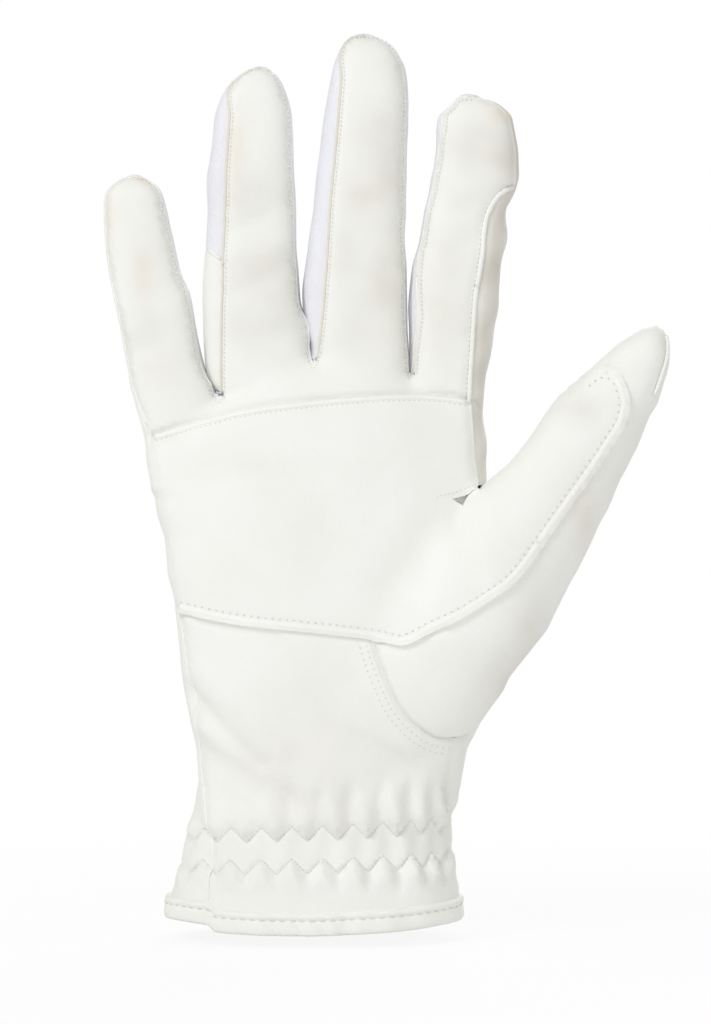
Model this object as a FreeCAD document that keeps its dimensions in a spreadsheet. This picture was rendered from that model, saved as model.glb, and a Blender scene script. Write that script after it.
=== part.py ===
import FreeCAD, Part
import os
import re
from math import cos, radians, sin
from FreeCAD import Placement, Rotation, Vector

# Right-hand golf glove, filled out as on a hand. Millimetres and degrees.
# The origin is the centre of the cuff opening, +Z runs to the fingertips,
# -Y points out of the palm and +X towards the thumb.

SIZES = {
    # layers and clearances
    "leather": 0.8,              # thickness of every leather or knit panel
    "patch_layer": 0.8,          # palm and thumb patch, laid over the leather
    "binding_layer": 0.9,        # woven tape folded round the cuff edge
    "elastic_layer": 0.8,        # wrist elastic, inside the palm panel
    "loop_layer": 0.9,           # loop pad, sewn on the back
    "hook_gap": 0.3,             # closed hook pad to loop pad
    "hook_layer": 1.1,           # hook pad, sewn under the tab
    "tab_layer": 1.2,            # closure tab
    "fold_gap": 0.3,             # between two bodies at a bending line
    "side_seam_depth": 5,        # seams of front and back panels, from the middle plane
    "thumb_seam_depth": 4.6,     # the same on the thumb, in front of the middle plane
    "overrun": 4,                # how far cutting tools pass the glove
    # palm stations from the cuff up: height, centre, half width, half depth
    "cuff_centre": 0.1, "cuff_half_width": 36.2, "cuff_half_depth": 20,
    "wrist_height": 22, "wrist_centre": 1.2, "wrist_half_width": 33.3, "wrist_half_depth": 18.2,
    "heel_height": 36, "heel_centre": 3.6, "heel_half_width": 32.9, "heel_half_depth": 17.2,
    "lower_palm_height": 50, "lower_palm_centre": 4,
    "lower_palm_half_width": 34, "lower_palm_half_depth": 16.8,
    "mid_palm_height": 76, "mid_palm_centre": 3.2,
    "mid_palm_half_width": 36.9, "mid_palm_half_depth": 15.8,
    "high_palm_height": 100, "high_palm_centre": 1.7,
    "high_palm_half_width": 39.3, "high_palm_half_depth": 14.8,
    "knuckle_height": 121, "knuckle_centre": 0.7,
    "knuckle_half_width": 42, "knuckle_half_depth": 13.8,
    "web_rise": 17.5, "web_centre": -1, "web_half_width": 44, "web_half_depth": 12.3,
    # the line on which the fingers fold, and the level of the crotches beyond it
    "fold_height": 128.4, "fold_slope": 6.9,
    # fingers: root, lean to the thumb side, lengths from the root, half widths and depths
    "little_root_x": -33.7, "little_root_z": 127, "little_lean": -11, "little_length": 64.4,
    "little_bend": 31, "little_round": 9,
    "little_root_half_width": 8.8, "little_bend_half_width": 9.2, "little_end_half_width": 8.2,
    "little_root_half_depth": 8.2, "little_bend_half_depth": 7.4, "little_end_half_depth": 6.4,
    "ring_root_x": -15, "ring_root_z": 129.5, "ring_lean": 0.4, "ring_length": 87.8,
    "ring_bend": 42.5, "ring_round": 12,
    "ring_root_half_width": 11.4, "ring_bend_half_width": 11.4, "ring_end_half_width": 10.4,
    "ring_root_half_depth": 9.2, "ring_bend_half_depth": 8.8, "ring_end_half_depth": 7.6,
    "middle_root_x": 8.6, "middle_root_z": 132, "middle_lean": 3.6, "middle_length": 93.5,
    "middle_bend": 46, "middle_round": 12,
    "middle_root_half_width": 12.2, "middle_bend_half_width": 12, "middle_end_half_width": 10.7,
    "middle_root_half_depth": 9.4, "middle_bend_half_depth": 9, "middle_end_half_depth": 7.8,
    "index_root_x": 33.2, "index_root_z": 134.5, "index_lean": 6.6, "index_length": 75.8,
    "index_bend": 34, "index_round": 11,
    "index_root_half_width": 9.2, "index_bend_half_width": 10.8, "index_end_half_width": 10.4,
    "index_root_half_depth": 8.8, "index_bend_half_depth": 8.4, "index_end_half_depth": 7.6,
    # thumb: the same, with its middle line offset across and forward at each station
    "thumb_root_x": 16.3, "thumb_root_z": 43.9, "thumb_lean": 36.4, "thumb_length": 128,
    "thumb_ball": 20, "thumb_web": 50, "thumb_bend": 73.5, "thumb_pad": 97.5, "thumb_round": 17,
    "thumb_root_half_width": 9, "thumb_ball_half_width": 15, "thumb_web_half_width": 15.8,
    "thumb_bend_half_width": 14.2, "thumb_pad_half_width": 11.6, "thumb_end_half_width": 9.6,
    "thumb_root_half_depth": 6.5, "thumb_ball_half_depth": 11.5, "thumb_web_half_depth": 12.4,
    "thumb_bend_half_depth": 11.4, "thumb_pad_half_depth": 9.2, "thumb_end_half_depth": 7.6,
    "thumb_web_shift": -1.7, "thumb_bend_shift": -3.8, "thumb_end_shift": -5.8,
    "thumb_forward": 6,
    # thumb seam: a round seam below the patch, and the straight one up to the crotch
    "thumb_seam_x": 36.5, "thumb_seam_z": 74, "thumb_seam_radius": 23.5,
    "thumb_seam_reach": 21,
    # patch edge: its height below the palm, its slope, and its far edge on the thumb
    "patch_height": 76.6, "patch_slope": 7.9, "patch_thumb_reach": 0.1, "patch_thumb_length": 83,
    # cuff
    "binding_height": 5.5, "elastic_height": 11, "elastic_width": 24,
    # back opening and closure
    "slit_x": 3, "slit_width": 4, "slit_length": 62, "slit_tape": 2.5,
    "tab_height": 17, "tab_width": 29, "tab_base_x": 9, "tab_length": 40, "tab_base": 8,
    "pad_inset": 3, "pad_length": 24,
}
FINGERS = ("little", "ring", "middle", "index")
PALM_STATIONS = ("wrist", "heel", "lower_palm", "mid_palm", "high_palm", "knuckle")
TIP_STEPS = (0, 30, 52, 70, 82)   # degrees round the fingertip at which sections stand

doc = FreeCAD.newDocument("golf_glove")
sheet = doc.addObject("Spreadsheet::Sheet", "sizes")
for row, (alias, value) in enumerate(SIZES.items(), start=1):
    sheet.set(f"A{row}", alias)
    sheet.set(f"B{row}", str(value))
    sheet.setAlias(f"B{row}", alias)
doc.recompute()

subparts = []


def bind(obj, **formulas):
    """Tie properties to formulas written with the sheet's aliases; __ stands for a dot."""
    for key, formula in formulas.items():
        text = re.sub(r"\b[a-z]\w*\b", lambda word: "sizes." + word[0] if word[0] in SIZES else word[0],
                      str(formula))
        obj.setExpression(key.replace("__", "."), text)
    return obj


def place(obj, x, y, z, lean="0"):
    """Put obj at x, y, z and lean it about Y, so that its own +Z turns towards +X."""
    obj.Placement = Placement(Vector(), Rotation(Vector(0, 1, 0), 1))
    return bind(obj, Placement__Base__x=x, Placement__Base__y=y, Placement__Base__z=z,
                Placement__Rotation__Angle=lean)


def oval(x, y, z, lean, half_width, half_depth):
    """One oval section of a hand form."""
    obj = doc.addObject("Part::Ellipse", "oval")
    bind(obj, MajorRadius=half_width, MinorRadius=half_depth)
    return place(obj, x, y, z, lean)


def loft(name, sections):
    obj = doc.addObject("Part::Loft", name)
    obj.Sections = sections
    obj.Solid = True
    obj.Ruled = True
    return obj


def palm_form(name, grow):
    """The palm and wrist as a solid, grown outwards by a layer."""
    ovals = [oval("cuff_centre", "0", "-overrun", "0",
                  f"cuff_half_width + {grow}", f"cuff_half_depth + {grow}"),
             oval("cuff_centre", "0", "0", "0",
                  f"cuff_half_width + {grow}", f"cuff_half_depth + {grow}")]
    for station in PALM_STATIONS:
        ovals.append(oval(f"{station}_centre", "0", f"{station}_height", "0",
                          f"{station}_half_width + {grow}", f"{station}_half_depth + {grow}"))
    ovals.append(oval("web_centre", "0", f"knuckle_height + web_rise + {grow}", "-fold_slope",
                      f"web_half_width + {grow}", f"web_half_depth + {grow}"))
    return loft(name, ovals)


def along(digit, distance, shift="0"):
    """A point of a digit's middle line, at a distance from its root and shifted across."""
    lean = f"{digit}_lean * 1deg"
    return (f"{digit}_root_x + ({distance}) * sin({lean}) + ({shift}) * cos({lean})",
            f"{digit}_root_z + ({distance}) * cos({lean}) - ({shift}) * sin({lean})")


def digit_form(name, digit, stations, grow):
    """A finger or thumb as a solid with a rounded tip.

    stations: (name, distance from the root, shift across, forward)
    """
    ovals = []
    for station, distance, shift, forward in stations:
        x, z = along(digit, distance, shift)
        ovals.append(oval(x, f"-({forward})", z, f"{digit}_lean",
                          f"{digit}_{station}_half_width + {grow}",
                          f"{digit}_{station}_half_depth + {grow}"))
    shift, forward = stations[-1][2:]
    for step in TIP_STEPS:
        share, rise = cos(radians(step)), sin(radians(step))
        x, z = along(digit, f"{digit}_length - {digit}_round + ({digit}_round + {grow}) * {rise:.4f}",
                     shift)
        ovals.append(oval(x, f"-({forward})", z, f"{digit}_lean",
                          f"({digit}_end_half_width + {grow}) * {share:.4f}",
                          f"({digit}_end_half_depth + {grow}) * {share:.4f}"))
    return loft(name, ovals)


def finger_form(name, digit, grow):
    return digit_form(name, digit, [("root", "0", "0", "0"), ("bend", f"{digit}_bend", "0", "0")], grow)


def thumb_form(name, grow):
    return digit_form(name, "thumb", [
        ("root", "0", "0", "0"),
        ("ball", "thumb_ball", "0", "thumb_forward * 0.5"),
        ("web", "thumb_web", "thumb_web_shift", "thumb_forward * 0.8"),
        ("bend", "thumb_bend", "thumb_bend_shift", "thumb_forward"),
        ("pad", "thumb_pad", "thumb_end_shift", "thumb_forward"),
    ], grow)


def box(name, x, y, z, length, width, height, lean="0"):
    obj = doc.addObject("Part::Box", name)
    bind(obj, Length=length, Width=width, Height=height)
    return place(obj, x, y, z, lean)


def fuse(name, *shapes):
    obj = doc.addObject("Part::MultiFuse", name)
    obj.Refine = False
    obj.Shapes = list(shapes)
    return obj


def chain(kind, name, base, tools):
    """Apply a boolean with the tools, one after the other."""
    for tool in tools:
        obj = doc.addObject(kind, name)
        obj.Refine = False
        obj.Base = base
        obj.Tool = tool
        base = obj
    return base


def common(name, base, *tools):
    return chain("Part::Common", name, base, tools)


def cut(name, base, *tools):
    return chain("Part::Cut", name, base, tools)


def piece(obj, node):
    obj.Label = node
    subparts.append(obj)
    return obj


def palm_layer(name, low, high):
    """The palm form's shell between two offsets from the leather's outer face."""
    return cut(name, palm_form(name + "_high", high), palm_form(name + "_low", low))


def hand_form(name, grow):
    """Palm and thumb together."""
    return fuse(name, palm_form(name + "_palm", grow), thumb_form(name + "_thumb", grow))


def fingers_form(name, grow):
    """Palm and fingers together."""
    return fuse(name, palm_form(name + "_palm", grow),
                *[finger_form(f"{name}_{digit}", digit, grow) for digit in FINGERS])


# ------------------------------------------------------------ cutting tools
# Every boolean gets a tool of its own: each call makes a new one.

REACH = "150"        # half of a tool that spans the whole glove


def slab(name, low, high):
    """Everything between two depths, low and high, along Y."""
    return box(name, f"-{REACH}", low, f"-{REACH}", f"2 * {REACH}", f"({high}) - ({low})", f"3 * {REACH}")


def front_zone():
    return slab("front_zone", f"-{REACH}", "-side_seam_depth")


def back_zone():
    return slab("back_zone", "side_seam_depth", REACH)


def along_fold(name, start, height):
    """A tool above or below the line on which the fingers fold."""
    slope = "fold_slope * 1deg"
    x = f"-{REACH} * cos({slope}) - ({start}) * sin({slope})"
    z = f"fold_height - {REACH} * sin({slope}) + ({start}) * cos({slope})"
    return box(name, x, f"-{REACH}", z, f"2 * {REACH}", f"2 * {REACH}", height, "-fold_slope")


def below_fold():
    return along_fold("below_fold", f"-{REACH} - fold_gap / 2", REACH)


def above_fold():
    return along_fold("above_fold", "fold_gap / 2", REACH)


def above_cuff():
    return box("above_cuff", f"-{REACH}", f"-{REACH}", "binding_layer",
               f"2 * {REACH}", f"2 * {REACH}", f"2 * {REACH}")


def along_digit(name, digit, start, length, left, right):
    """A tool square to a digit, from start along it and between left and right across it."""
    x, z = along(digit, start, left)
    return box(name, x, f"-{REACH}", z, f"({right}) - ({left})", f"2 * {REACH}", length, f"{digit}_lean")


def beyond_bend(digit, side):
    widest = f"{digit}_bend_half_width + 1"
    shift = f"{digit}_bend_shift" if digit == "thumb" else "0"
    return along_digit(digit + "_beyond", digit, f"{digit}_bend + ({side})", f"{digit}_length",
                       f"{shift} - ({widest})", f"{shift} + {widest}")


# ------------------------------------------------------------ hand body

# The thumb is set into the palm along a round seam and a straight one up to the crotch.
def thumb_side():
    return along_digit("thumb_side", "thumb", "-thumb_bend", "3 * thumb_bend",
                       "-thumb_seam_reach", REACH)


def thumb_zone():
    round_seam = doc.addObject("Part::Cylinder", "round_seam")
    round_seam.Placement = Placement(Vector(), Rotation(Vector(1, 0, 0), 90))
    bind(round_seam, Radius="thumb_seam_radius", Height=f"2 * {REACH}",
         Placement__Base__x="thumb_seam_x", Placement__Base__y=REACH, Placement__Base__z="thumb_seam_z")
    upper = along_digit("thumb_upper", "thumb", "thumb_ball + 17", "2 * thumb_length",
                        "-2 * thumb_seam_reach", REACH)
    return common("thumb_zone", thumb_side(), fuse("thumb_whole", round_seam, upper))


def hand_leather(name, keep):
    """Leather of palm and thumb on one side of the thumb seam, up to the bending lines."""
    outer = fuse(name + "_outer",
                 keep(name + "_palm_share", palm_form(name + "_palm", "0"), thumb_zone()),
                 keep(name + "_thumb_share", thumb_form(name + "_thumb", "0"), thumb_zone()))
    skin = cut(name + "_skin", outer, palm_form(name + "_palm_inner", "-leather"),
               thumb_form(name + "_thumb_inner", "-leather"))
    return cut(name, common(name + "_band", skin, below_fold(), above_cuff()),
               beyond_bend("thumb", "-fold_gap / 2"))


def thumb_front_zone():
    return slab("thumb_front_zone", f"-{REACH}", "-thumb_seam_depth")


thumb_root = hand_leather("thumb_root", common)
piece(common("thumb_front", thumb_root, thumb_front_zone()), "thumb_front_panel")
piece(cut("thumb_back", thumb_root, thumb_front_zone()), "thumb_back_panel")


def ulnar_zone():
    return box("ulnar_zone", f"-{REACH}", "-side_seam_depth", f"-{REACH}",
               REACH, "2 * side_seam_depth", f"3 * {REACH}")


def radial_zone():
    return box("radial_zone", "knuckle_centre", "-side_seam_depth", "mid_palm_height + 10",
               REACH, "2 * side_seam_depth", REACH)


hand_rest = hand_leather("hand_rest", cut)
piece(common("ulnar_side", hand_rest, ulnar_zone()), "ulnar_side_panel")
piece(common("radial_side", hand_rest, radial_zone()), "radial_side_panel")
piece(cut("palm", hand_rest, back_zone(), ulnar_zone(), radial_zone()), "palm_panel")

# The back opens in a slit from the cuff, bound with tape.
def slit():
    return box("slit", "slit_x - slit_width / 2", "0", "-overrun", "slit_width", REACH,
               "slit_length + overrun")


piece(cut("back", common("back_skin", hand_rest, back_zone()), slit()), "back_panel")
tape_sides = box("tape_sides", "slit_x - slit_width / 2 - slit_tape", "0", "binding_height",
                 "slit_width + 2 * slit_tape", REACH, "slit_length + slit_tape - binding_height")
tape_layer = palm_layer("tape_layer", "0", "binding_layer")
piece(cut("slit_tape_run", common("slit_tape_band", tape_layer, tape_sides), slit()), "slit_binding")

# Woven tape folded round the cuff edge, inside and out.
tape_ring = palm_layer("tape_ring", "-(leather + binding_layer)", "binding_layer")
cuff_zone = box("cuff_zone", f"-{REACH}", f"-{REACH}", "0", f"2 * {REACH}", f"2 * {REACH}",
                "binding_height")
leather_edge = common("leather_edge", palm_layer("leather_ring", "-leather", "0"), above_cuff())
piece(cut("cuff_tape", common("cuff_band", tape_ring, cuff_zone), leather_edge, slit()), "cuff_binding")

# Elastic gathered inside the wrist, across the palm side.
elastic_ring = palm_layer("elastic_ring", "-(leather + elastic_layer)", "-leather")
elastic_zone = box("elastic_zone", f"-{REACH}", f"-{REACH}", "elastic_height",
                   f"2 * {REACH}", f"{REACH} - side_seam_depth", "elastic_width")
piece(common("elastic", elastic_ring, elastic_zone), "wrist_elastic")

# Palm patch: one more layer over the palm, up to the fold line, and over the inner thumb.
patch_skin = cut("patch_skin", hand_form("patch_outer", "patch_layer"), hand_form("patch_under", "0"))
patch_slope = "patch_slope * 1deg"
patch_palm_zone = box("patch_palm_zone", f"-{REACH} * cos({patch_slope})", f"-{REACH}",
                      f"patch_height + {REACH} * sin({patch_slope})",
                      f"2 * {REACH}", f"{REACH} - side_seam_depth", REACH, "patch_slope")


def patch_thumb_zone():
    plan = along_digit("patch_thumb_plan", "thumb", "thumb_ball + 8", "patch_thumb_length",
                       "-thumb_seam_reach", "patch_thumb_reach")
    return common("patch_thumb_zone", plan, thumb_front_zone())


patch_plan = fuse("patch_plan", cut("patch_palm_left", patch_palm_zone, thumb_side()),
                  patch_thumb_zone())
piece(cut("patch", common("patch_all", patch_skin, patch_plan, below_fold()),
          beyond_bend("thumb", "-fold_gap / 2")), "palm_patch")

# Closure: loop pad on the back, tab with its hook pad, and the sewn foot of the tab.
pad_left = "tab_base_x - tab_length + pad_inset"


def pad_zone():
    return box("pad_zone", pad_left, "0", "tab_height + pad_inset",
               "pad_length", REACH, "tab_width - 2 * pad_inset")


piece(common("loop", palm_layer("loop_ring", "0", "loop_layer"), pad_zone()), "loop_pad")
hook_low = "(loop_layer + hook_gap)"
tab_low = "(loop_layer + hook_gap + hook_layer)"
tab_high = "(loop_layer + hook_gap + hook_layer + tab_layer)"
piece(common("hook", palm_layer("hook_ring", hook_low, tab_low), pad_zone()), "hook_pad")
tab_zone = box("tab_zone", "tab_base_x - tab_length", "0", "tab_height",
               "tab_length - fold_gap", REACH, "tab_width")
piece(common("tab", palm_layer("tab_ring", tab_low, tab_high), tab_zone), "closure_tab")
foot_zone = box("foot_zone", "tab_base_x", "0", "tab_height", "tab_base", REACH, "tab_width")
piece(common("foot", palm_layer("foot_ring", "0", tab_high), foot_zone), "tab_foot")

# ------------------------------------------------------------ fingers body


def right_of(digit):
    """The thumb side of a finger's middle line."""
    return along_digit("right_of_" + digit, digit, f"-{REACH}", f"3 * {REACH}", "0", REACH)


fingers_skin = cut("fingers_skin", fingers_form("fingers_outer", "0"),
                   fingers_form("fingers_inner", "-leather"))
fingers_leather = cut("fingers_leather", common("fingers_band", fingers_skin, above_fold()),
                      *[beyond_bend(digit, "-fold_gap / 2") for digit in FINGERS])
piece(common("fingers_front", fingers_leather, front_zone()), "finger_front_panel")
piece(common("fingers_back", fingers_leather, back_zone()), "finger_back_panel")
fingers_sides = cut("fingers_sides", fingers_leather, front_zone(), back_zone())
piece(cut("little_wall", fingers_sides, right_of("little")), "little_side_wall")
for left, right in zip(FINGERS, FINGERS[1:]):
    between = common(f"{left}_{right}_half", fingers_sides, right_of(left))
    piece(cut(f"{left}_{right}_gusset", between, right_of(right)), f"fourchette_{left}_{right}")
piece(common("index_wall", fingers_sides, right_of("index")), "index_side_wall")

# ------------------------------------------------------------ fingertips


def digit_end(digit, high, low):
    """A digit's leather beyond its bending line."""
    return common(digit + "_end", cut(digit + "_skin", high, low), beyond_bend(digit, "fold_gap / 2"))


for digit in FINGERS:
    end = digit_end(digit, finger_form(digit + "_high", digit, "0"),
                    finger_form(digit + "_low", digit, "-leather"))
    walls = cut(digit + "_walls", end, front_zone(), back_zone())
    piece(common(digit + "_front", end, front_zone()), f"{digit}_tip_front")
    piece(common(digit + "_back", end, back_zone()), f"{digit}_tip_back")
    piece(cut(digit + "_ulnar", walls, right_of(digit)), f"{digit}_tip_ulnar_wall")
    piece(common(digit + "_radial", walls, right_of(digit)), f"{digit}_tip_radial_wall")

thumb_end = digit_end("thumb", thumb_form("thumb_high", "0"), thumb_form("thumb_low", "-leather"))
piece(common("thumb_end_front", thumb_end, thumb_front_zone()), "thumb_tip_front")
piece(cut("thumb_end_back", thumb_end, thumb_front_zone()), "thumb_tip_back")
thumb_patch_layer = cut("thumb_patch_layer", thumb_form("thumb_patch_high", "patch_layer"),
                        thumb_form("thumb_patch_low", "0"))
piece(common("thumb_patch_end", thumb_patch_layer, patch_thumb_zone(),
             beyond_bend("thumb", "fold_gap / 2")), "thumb_patch_tip")

# ------------------------------------------------------------ build and write

doc.recompute()
for obj in doc.Objects:
    if {"Invalid", "Error"} & set(obj.State):
        raise RuntimeError(f"{obj.Label} failed: {obj.State}")
for obj in subparts:
    if obj.Shape.isNull() or not obj.Shape.isValid() or not obj.Shape.Solids:
        raise RuntimeError(f"{obj.Label} has no valid solid")

os.makedirs("parts", exist_ok=True)
for obj in subparts:
    obj.Shape.exportStep(f"parts/{obj.Label}.step")
    print(f"{obj.Label:28s} solids {len(obj.Shape.Solids):2d}  volume {obj.Shape.Volume:9.1f}")
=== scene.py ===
import math
import bpy
import numpy as np
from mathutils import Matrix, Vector, geometry


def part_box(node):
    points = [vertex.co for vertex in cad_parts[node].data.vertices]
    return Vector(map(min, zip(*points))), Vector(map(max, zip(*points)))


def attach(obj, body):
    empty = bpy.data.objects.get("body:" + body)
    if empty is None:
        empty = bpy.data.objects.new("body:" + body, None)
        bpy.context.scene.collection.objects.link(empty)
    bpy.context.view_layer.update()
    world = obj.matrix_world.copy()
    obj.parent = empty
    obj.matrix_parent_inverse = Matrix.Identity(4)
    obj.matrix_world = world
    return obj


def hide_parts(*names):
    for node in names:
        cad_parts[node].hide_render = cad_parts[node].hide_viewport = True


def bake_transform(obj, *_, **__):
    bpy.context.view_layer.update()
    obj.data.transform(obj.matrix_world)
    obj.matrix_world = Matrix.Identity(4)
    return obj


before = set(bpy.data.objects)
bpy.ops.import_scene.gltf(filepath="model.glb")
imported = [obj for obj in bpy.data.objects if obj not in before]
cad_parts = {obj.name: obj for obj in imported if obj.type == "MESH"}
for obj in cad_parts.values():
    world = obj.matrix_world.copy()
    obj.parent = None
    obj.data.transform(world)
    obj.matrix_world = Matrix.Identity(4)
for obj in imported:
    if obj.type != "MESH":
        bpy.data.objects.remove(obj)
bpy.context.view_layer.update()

MM = 0.001
ALL_LIMBS = ("little", "ring", "middle", "index", "palm", "thumb")
LEATHER = 0.8                               # thickness of every leather sheet, mm


# ---- curves

class Curve:
    """A smooth curve through (position, value) pairs that doesn't overshoot, read from a fine table."""

    def __init__(self, pairs):
        x, y = np.array(sorted(pairs), float).T
        h, s = np.diff(x), np.diff(y) / np.diff(x)
        m = np.zeros(len(x))
        m[0], m[-1] = s[0], s[-1]
        for i in range(1, len(x) - 1):
            if s[i - 1] * s[i] > 0:
                m[i] = 2 * s[i - 1] * s[i] / (s[i - 1] + s[i])
        self.x = np.linspace(x[0], x[-1], 900)
        k = np.clip(np.searchsorted(x, self.x) - 1, 0, len(h) - 1)
        t = (self.x - x[k]) / h[k]
        self.y = ((2 * t**3 - 3 * t**2 + 1) * y[k] + (t**3 - 2 * t**2 + t) * h[k] * m[k]
                  + (3 * t**2 - 2 * t**3) * y[k + 1] + (t**3 - t**2) * h[k] * m[k + 1])

    def __call__(self, v):
        return np.interp(v, self.x, self.y)


def resample(points, step):
    """Points about one step apart along a polyline, its ends kept."""
    p = np.array(points, float)
    run = np.r_[0, np.cumsum(np.linalg.norm(np.diff(p, axis=0), axis=1))]
    n = max(2, int(round(run[-1] / step)) + 1)
    s = np.linspace(0, run[-1], n)
    return np.stack([np.interp(s, run, p[:, k]) for k in range(p.shape[1])], 1)


def smooth(points, step):
    """A Catmull-Rom curve through the points, sampled at one step."""
    p = np.array(points, float)
    p = np.vstack([2 * p[0] - p[1], p, 2 * p[-1] - p[-2]])
    out = []
    for i in range(1, len(p) - 2):
        a, b, c, d = p[i - 1:i + 3]
        for t in np.linspace(0, 1, 12, endpoint=False):
            out.append(0.5 * (2 * b + (c - a) * t + (2 * a - 5 * b + 4 * c - d) * t * t
                              + (3 * b - a - 3 * c + d) * t**3))
    out.append(p[-2])
    return resample(out, step)


def unit(v):
    """Vectors brought to length 1."""
    return v / np.maximum(np.linalg.norm(v, axis=1, keepdims=True), 1e-12)


def smoothstep(a, b, v):
    """From 0 at a to 1 at b, with soft ends; falls where a is above b."""
    t = np.clip((v - a) / (b - a), 0, 1)
    return t * t * (3 - 2 * t)


def near(points, line):
    """Distance of each point to a polyline, in as many dimensions as both have."""
    p, l = np.asarray(points, float), np.asarray(line, float)
    best = np.full(len(p), 1e9)
    for a, b in zip(l[:-1], l[1:]):
        d = b - a
        t = np.clip(((p - a) @ d) / max(d @ d, 1e-12), 0, 1)
        best = np.minimum(best, np.linalg.norm(p - a - t[:, None] * d, axis=1))
    return best


def closed(line):
    """A ring of points with its first one again at the end."""
    return np.vstack([line, line[:1]])


def inside(points, polygon):
    """Which points of a plane lie inside a polygon."""
    p, q = np.asarray(points, float), np.asarray(polygon, float)
    result = np.zeros(len(p), bool)
    for (ax, ay), (bx, by) in zip(q, np.roll(q, -1, axis=0)):
        if ay == by:
            continue
        hit = (p[:, 1] < ay) != (p[:, 1] < by)
        result ^= hit & (p[:, 0] < ax + (p[:, 1] - ay) * (bx - ax) / (by - ay))
    return result


# ---- the filled glove's form

class Tube:
    """A limb along a line: side outlines, front and back depths, a round end."""

    def __init__(self, root, lean, left, right, front, back, power, cap, middle=0.0):
        a = math.radians(lean)
        self.root, self.dir = np.array(root), np.array((math.sin(a), math.cos(a)))
        self.side = np.array((math.cos(a), -math.sin(a)))
        l = [self.local(np.array((x, z))) for z, x in left]
        r = [self.local(np.array((x, z))) for z, x in right]
        lt, lu = np.array(sorted(l)).T
        rt, ru = np.array(sorted(r)).T
        ts = sorted(set(list(lt) + list(rt)))
        self.end, self.cap, self.power, self.middle = max(ts), cap, power, middle
        lo, hi = np.interp(ts, lt, lu), np.interp(ts, rt, ru)
        self.centre = Curve(list(zip(ts, (lo + hi) / 2)))
        self.half = Curve(list(zip(ts, ((hi - lo) / 2)**2)))
        self.front, self.back = Curve(front), Curve(back)
        self.start = min(ts)

    def local(self, xz):
        d = xz - self.root
        return float(d @ self.dir), float(d @ self.side)

    def __call__(self, p):
        d = p[:, [0, 2]] - self.root
        t, u = d @ self.dir, d @ self.side
        u = u - self.centre(t) + 1e-4
        v = p[:, 1] - self.middle
        hw = np.sqrt(np.maximum(self.half(t), 0.04))
        round_end = np.sqrt(np.maximum(1 - np.clip((t - self.end + self.cap) / self.cap, 0, 1)**2, 0.01))
        hd = np.where(v < 0, self.front(t), self.back(t)) * round_end
        r = ((np.abs(u) / hw)**self.power + (np.abs(v) / hd)**self.power)**(1 / self.power)
        out = np.hypot(u, v)
        d = out * (1 - 1 / np.maximum(r, 1e-5))
        d = np.maximum(d, self.start - t)
        over = t - self.end
        return np.where(over > 0, np.hypot(np.maximum(d, 0), over), d)


def blend_min(a, b, k):
    """The smaller of two distances, rounded off over k where they meet."""
    h = np.clip(0.5 + 0.5 * (b - a) / k, 0, 1)
    return b * (1 - h) + a * h - k * h * (1 - h)


HAND_LEFT = [(-4, -36.6), (1, -36.6), (5, -36.4), (8.75, -36.25), (12.5, -34.5), (16, -33.3), (24, -32.25),
    (27.5, -31.5), (31, -30.25), (35, -29.25), (39, -28.4), (46, -29), (54, -30.75), (61, -32.25),
    (69, -33.25), (76, -33.75), (84, -34.75), (91, -36.5), (99, -37.25), (106, -39.25), (114, -40),
    (121, -41.25), (129, -43.25), (136, -44.6), (150, -46)]
HAND_RIGHT = [(-4, 37), (5, 36.7), (12.5, 36.3), (16, 35.3), (24, 34.75), (27.5, 34.5), (31, 35.3),
    (35, 36.4), (39, 37.2), (46, 37), (56, 38.6), (80, 41.3), (100, 42.5), (114, 42.9), (136, 42.9),
    (150, 43)]
PALM_DEPTH = [(-4, 20), (0, 20), (22, 18.2), (36, 17.2), (50, 16.8), (76, 15.8), (100, 14.8), (121, 13.4),
    (150, 12)]

PALM_POWER = 2.35                           # squareness of the palm's section
palm_tube = Tube((0, 0), 0, HAND_LEFT, HAND_RIGHT, PALM_DEPTH, PALM_DEPTH, PALM_POWER, 0.5)
WEB_DEPTH = 14                              # height over which the palm closes towards the webs
WEB_LINE = Curve([(-60, 126), (-44, 130), (-23.5, 135.4), (-10, 141), (0.25, 143.9), (12, 143.6),
                  (24.1, 141),
                  (36, 139), (60, 134)])


def palm_form(p):
    """Distance to the palm, whose upper end is rounded off towards the finger webs."""
    w = np.maximum(0, p[:, 2] - (WEB_LINE(p[:, 0]) - WEB_DEPTH))
    u = p[:, 0] - palm_tube.centre(p[:, 2])
    hw = np.sqrt(palm_tube.half(p[:, 2]))
    hd = palm_tube.front(p[:, 2])
    n = PALM_POWER
    r = ((np.abs(u) / hw)**n + (np.abs(p[:, 1]) / hd)**n + (w / WEB_DEPTH)**n)**(1 / n)
    capped = np.sqrt(u**2 + p[:, 1]**2 + w**2) * (1 - 1 / np.maximum(r, 1e-5))
    return np.where(w > 0, capped, palm_tube(p))


def finger(rows, tip, depths):
    """A finger from rows of (height, left edge, right edge), its tip and its depths."""
    left = [(z, l) for z, l, r in rows] + [(tip[1], tip[0])]
    right = [(z, r) for z, l, r in rows] + [(tip[1], tip[0])]
    return Tube((0, 0), 0, left, right, depths, depths, 2.85, 9.0)


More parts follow.
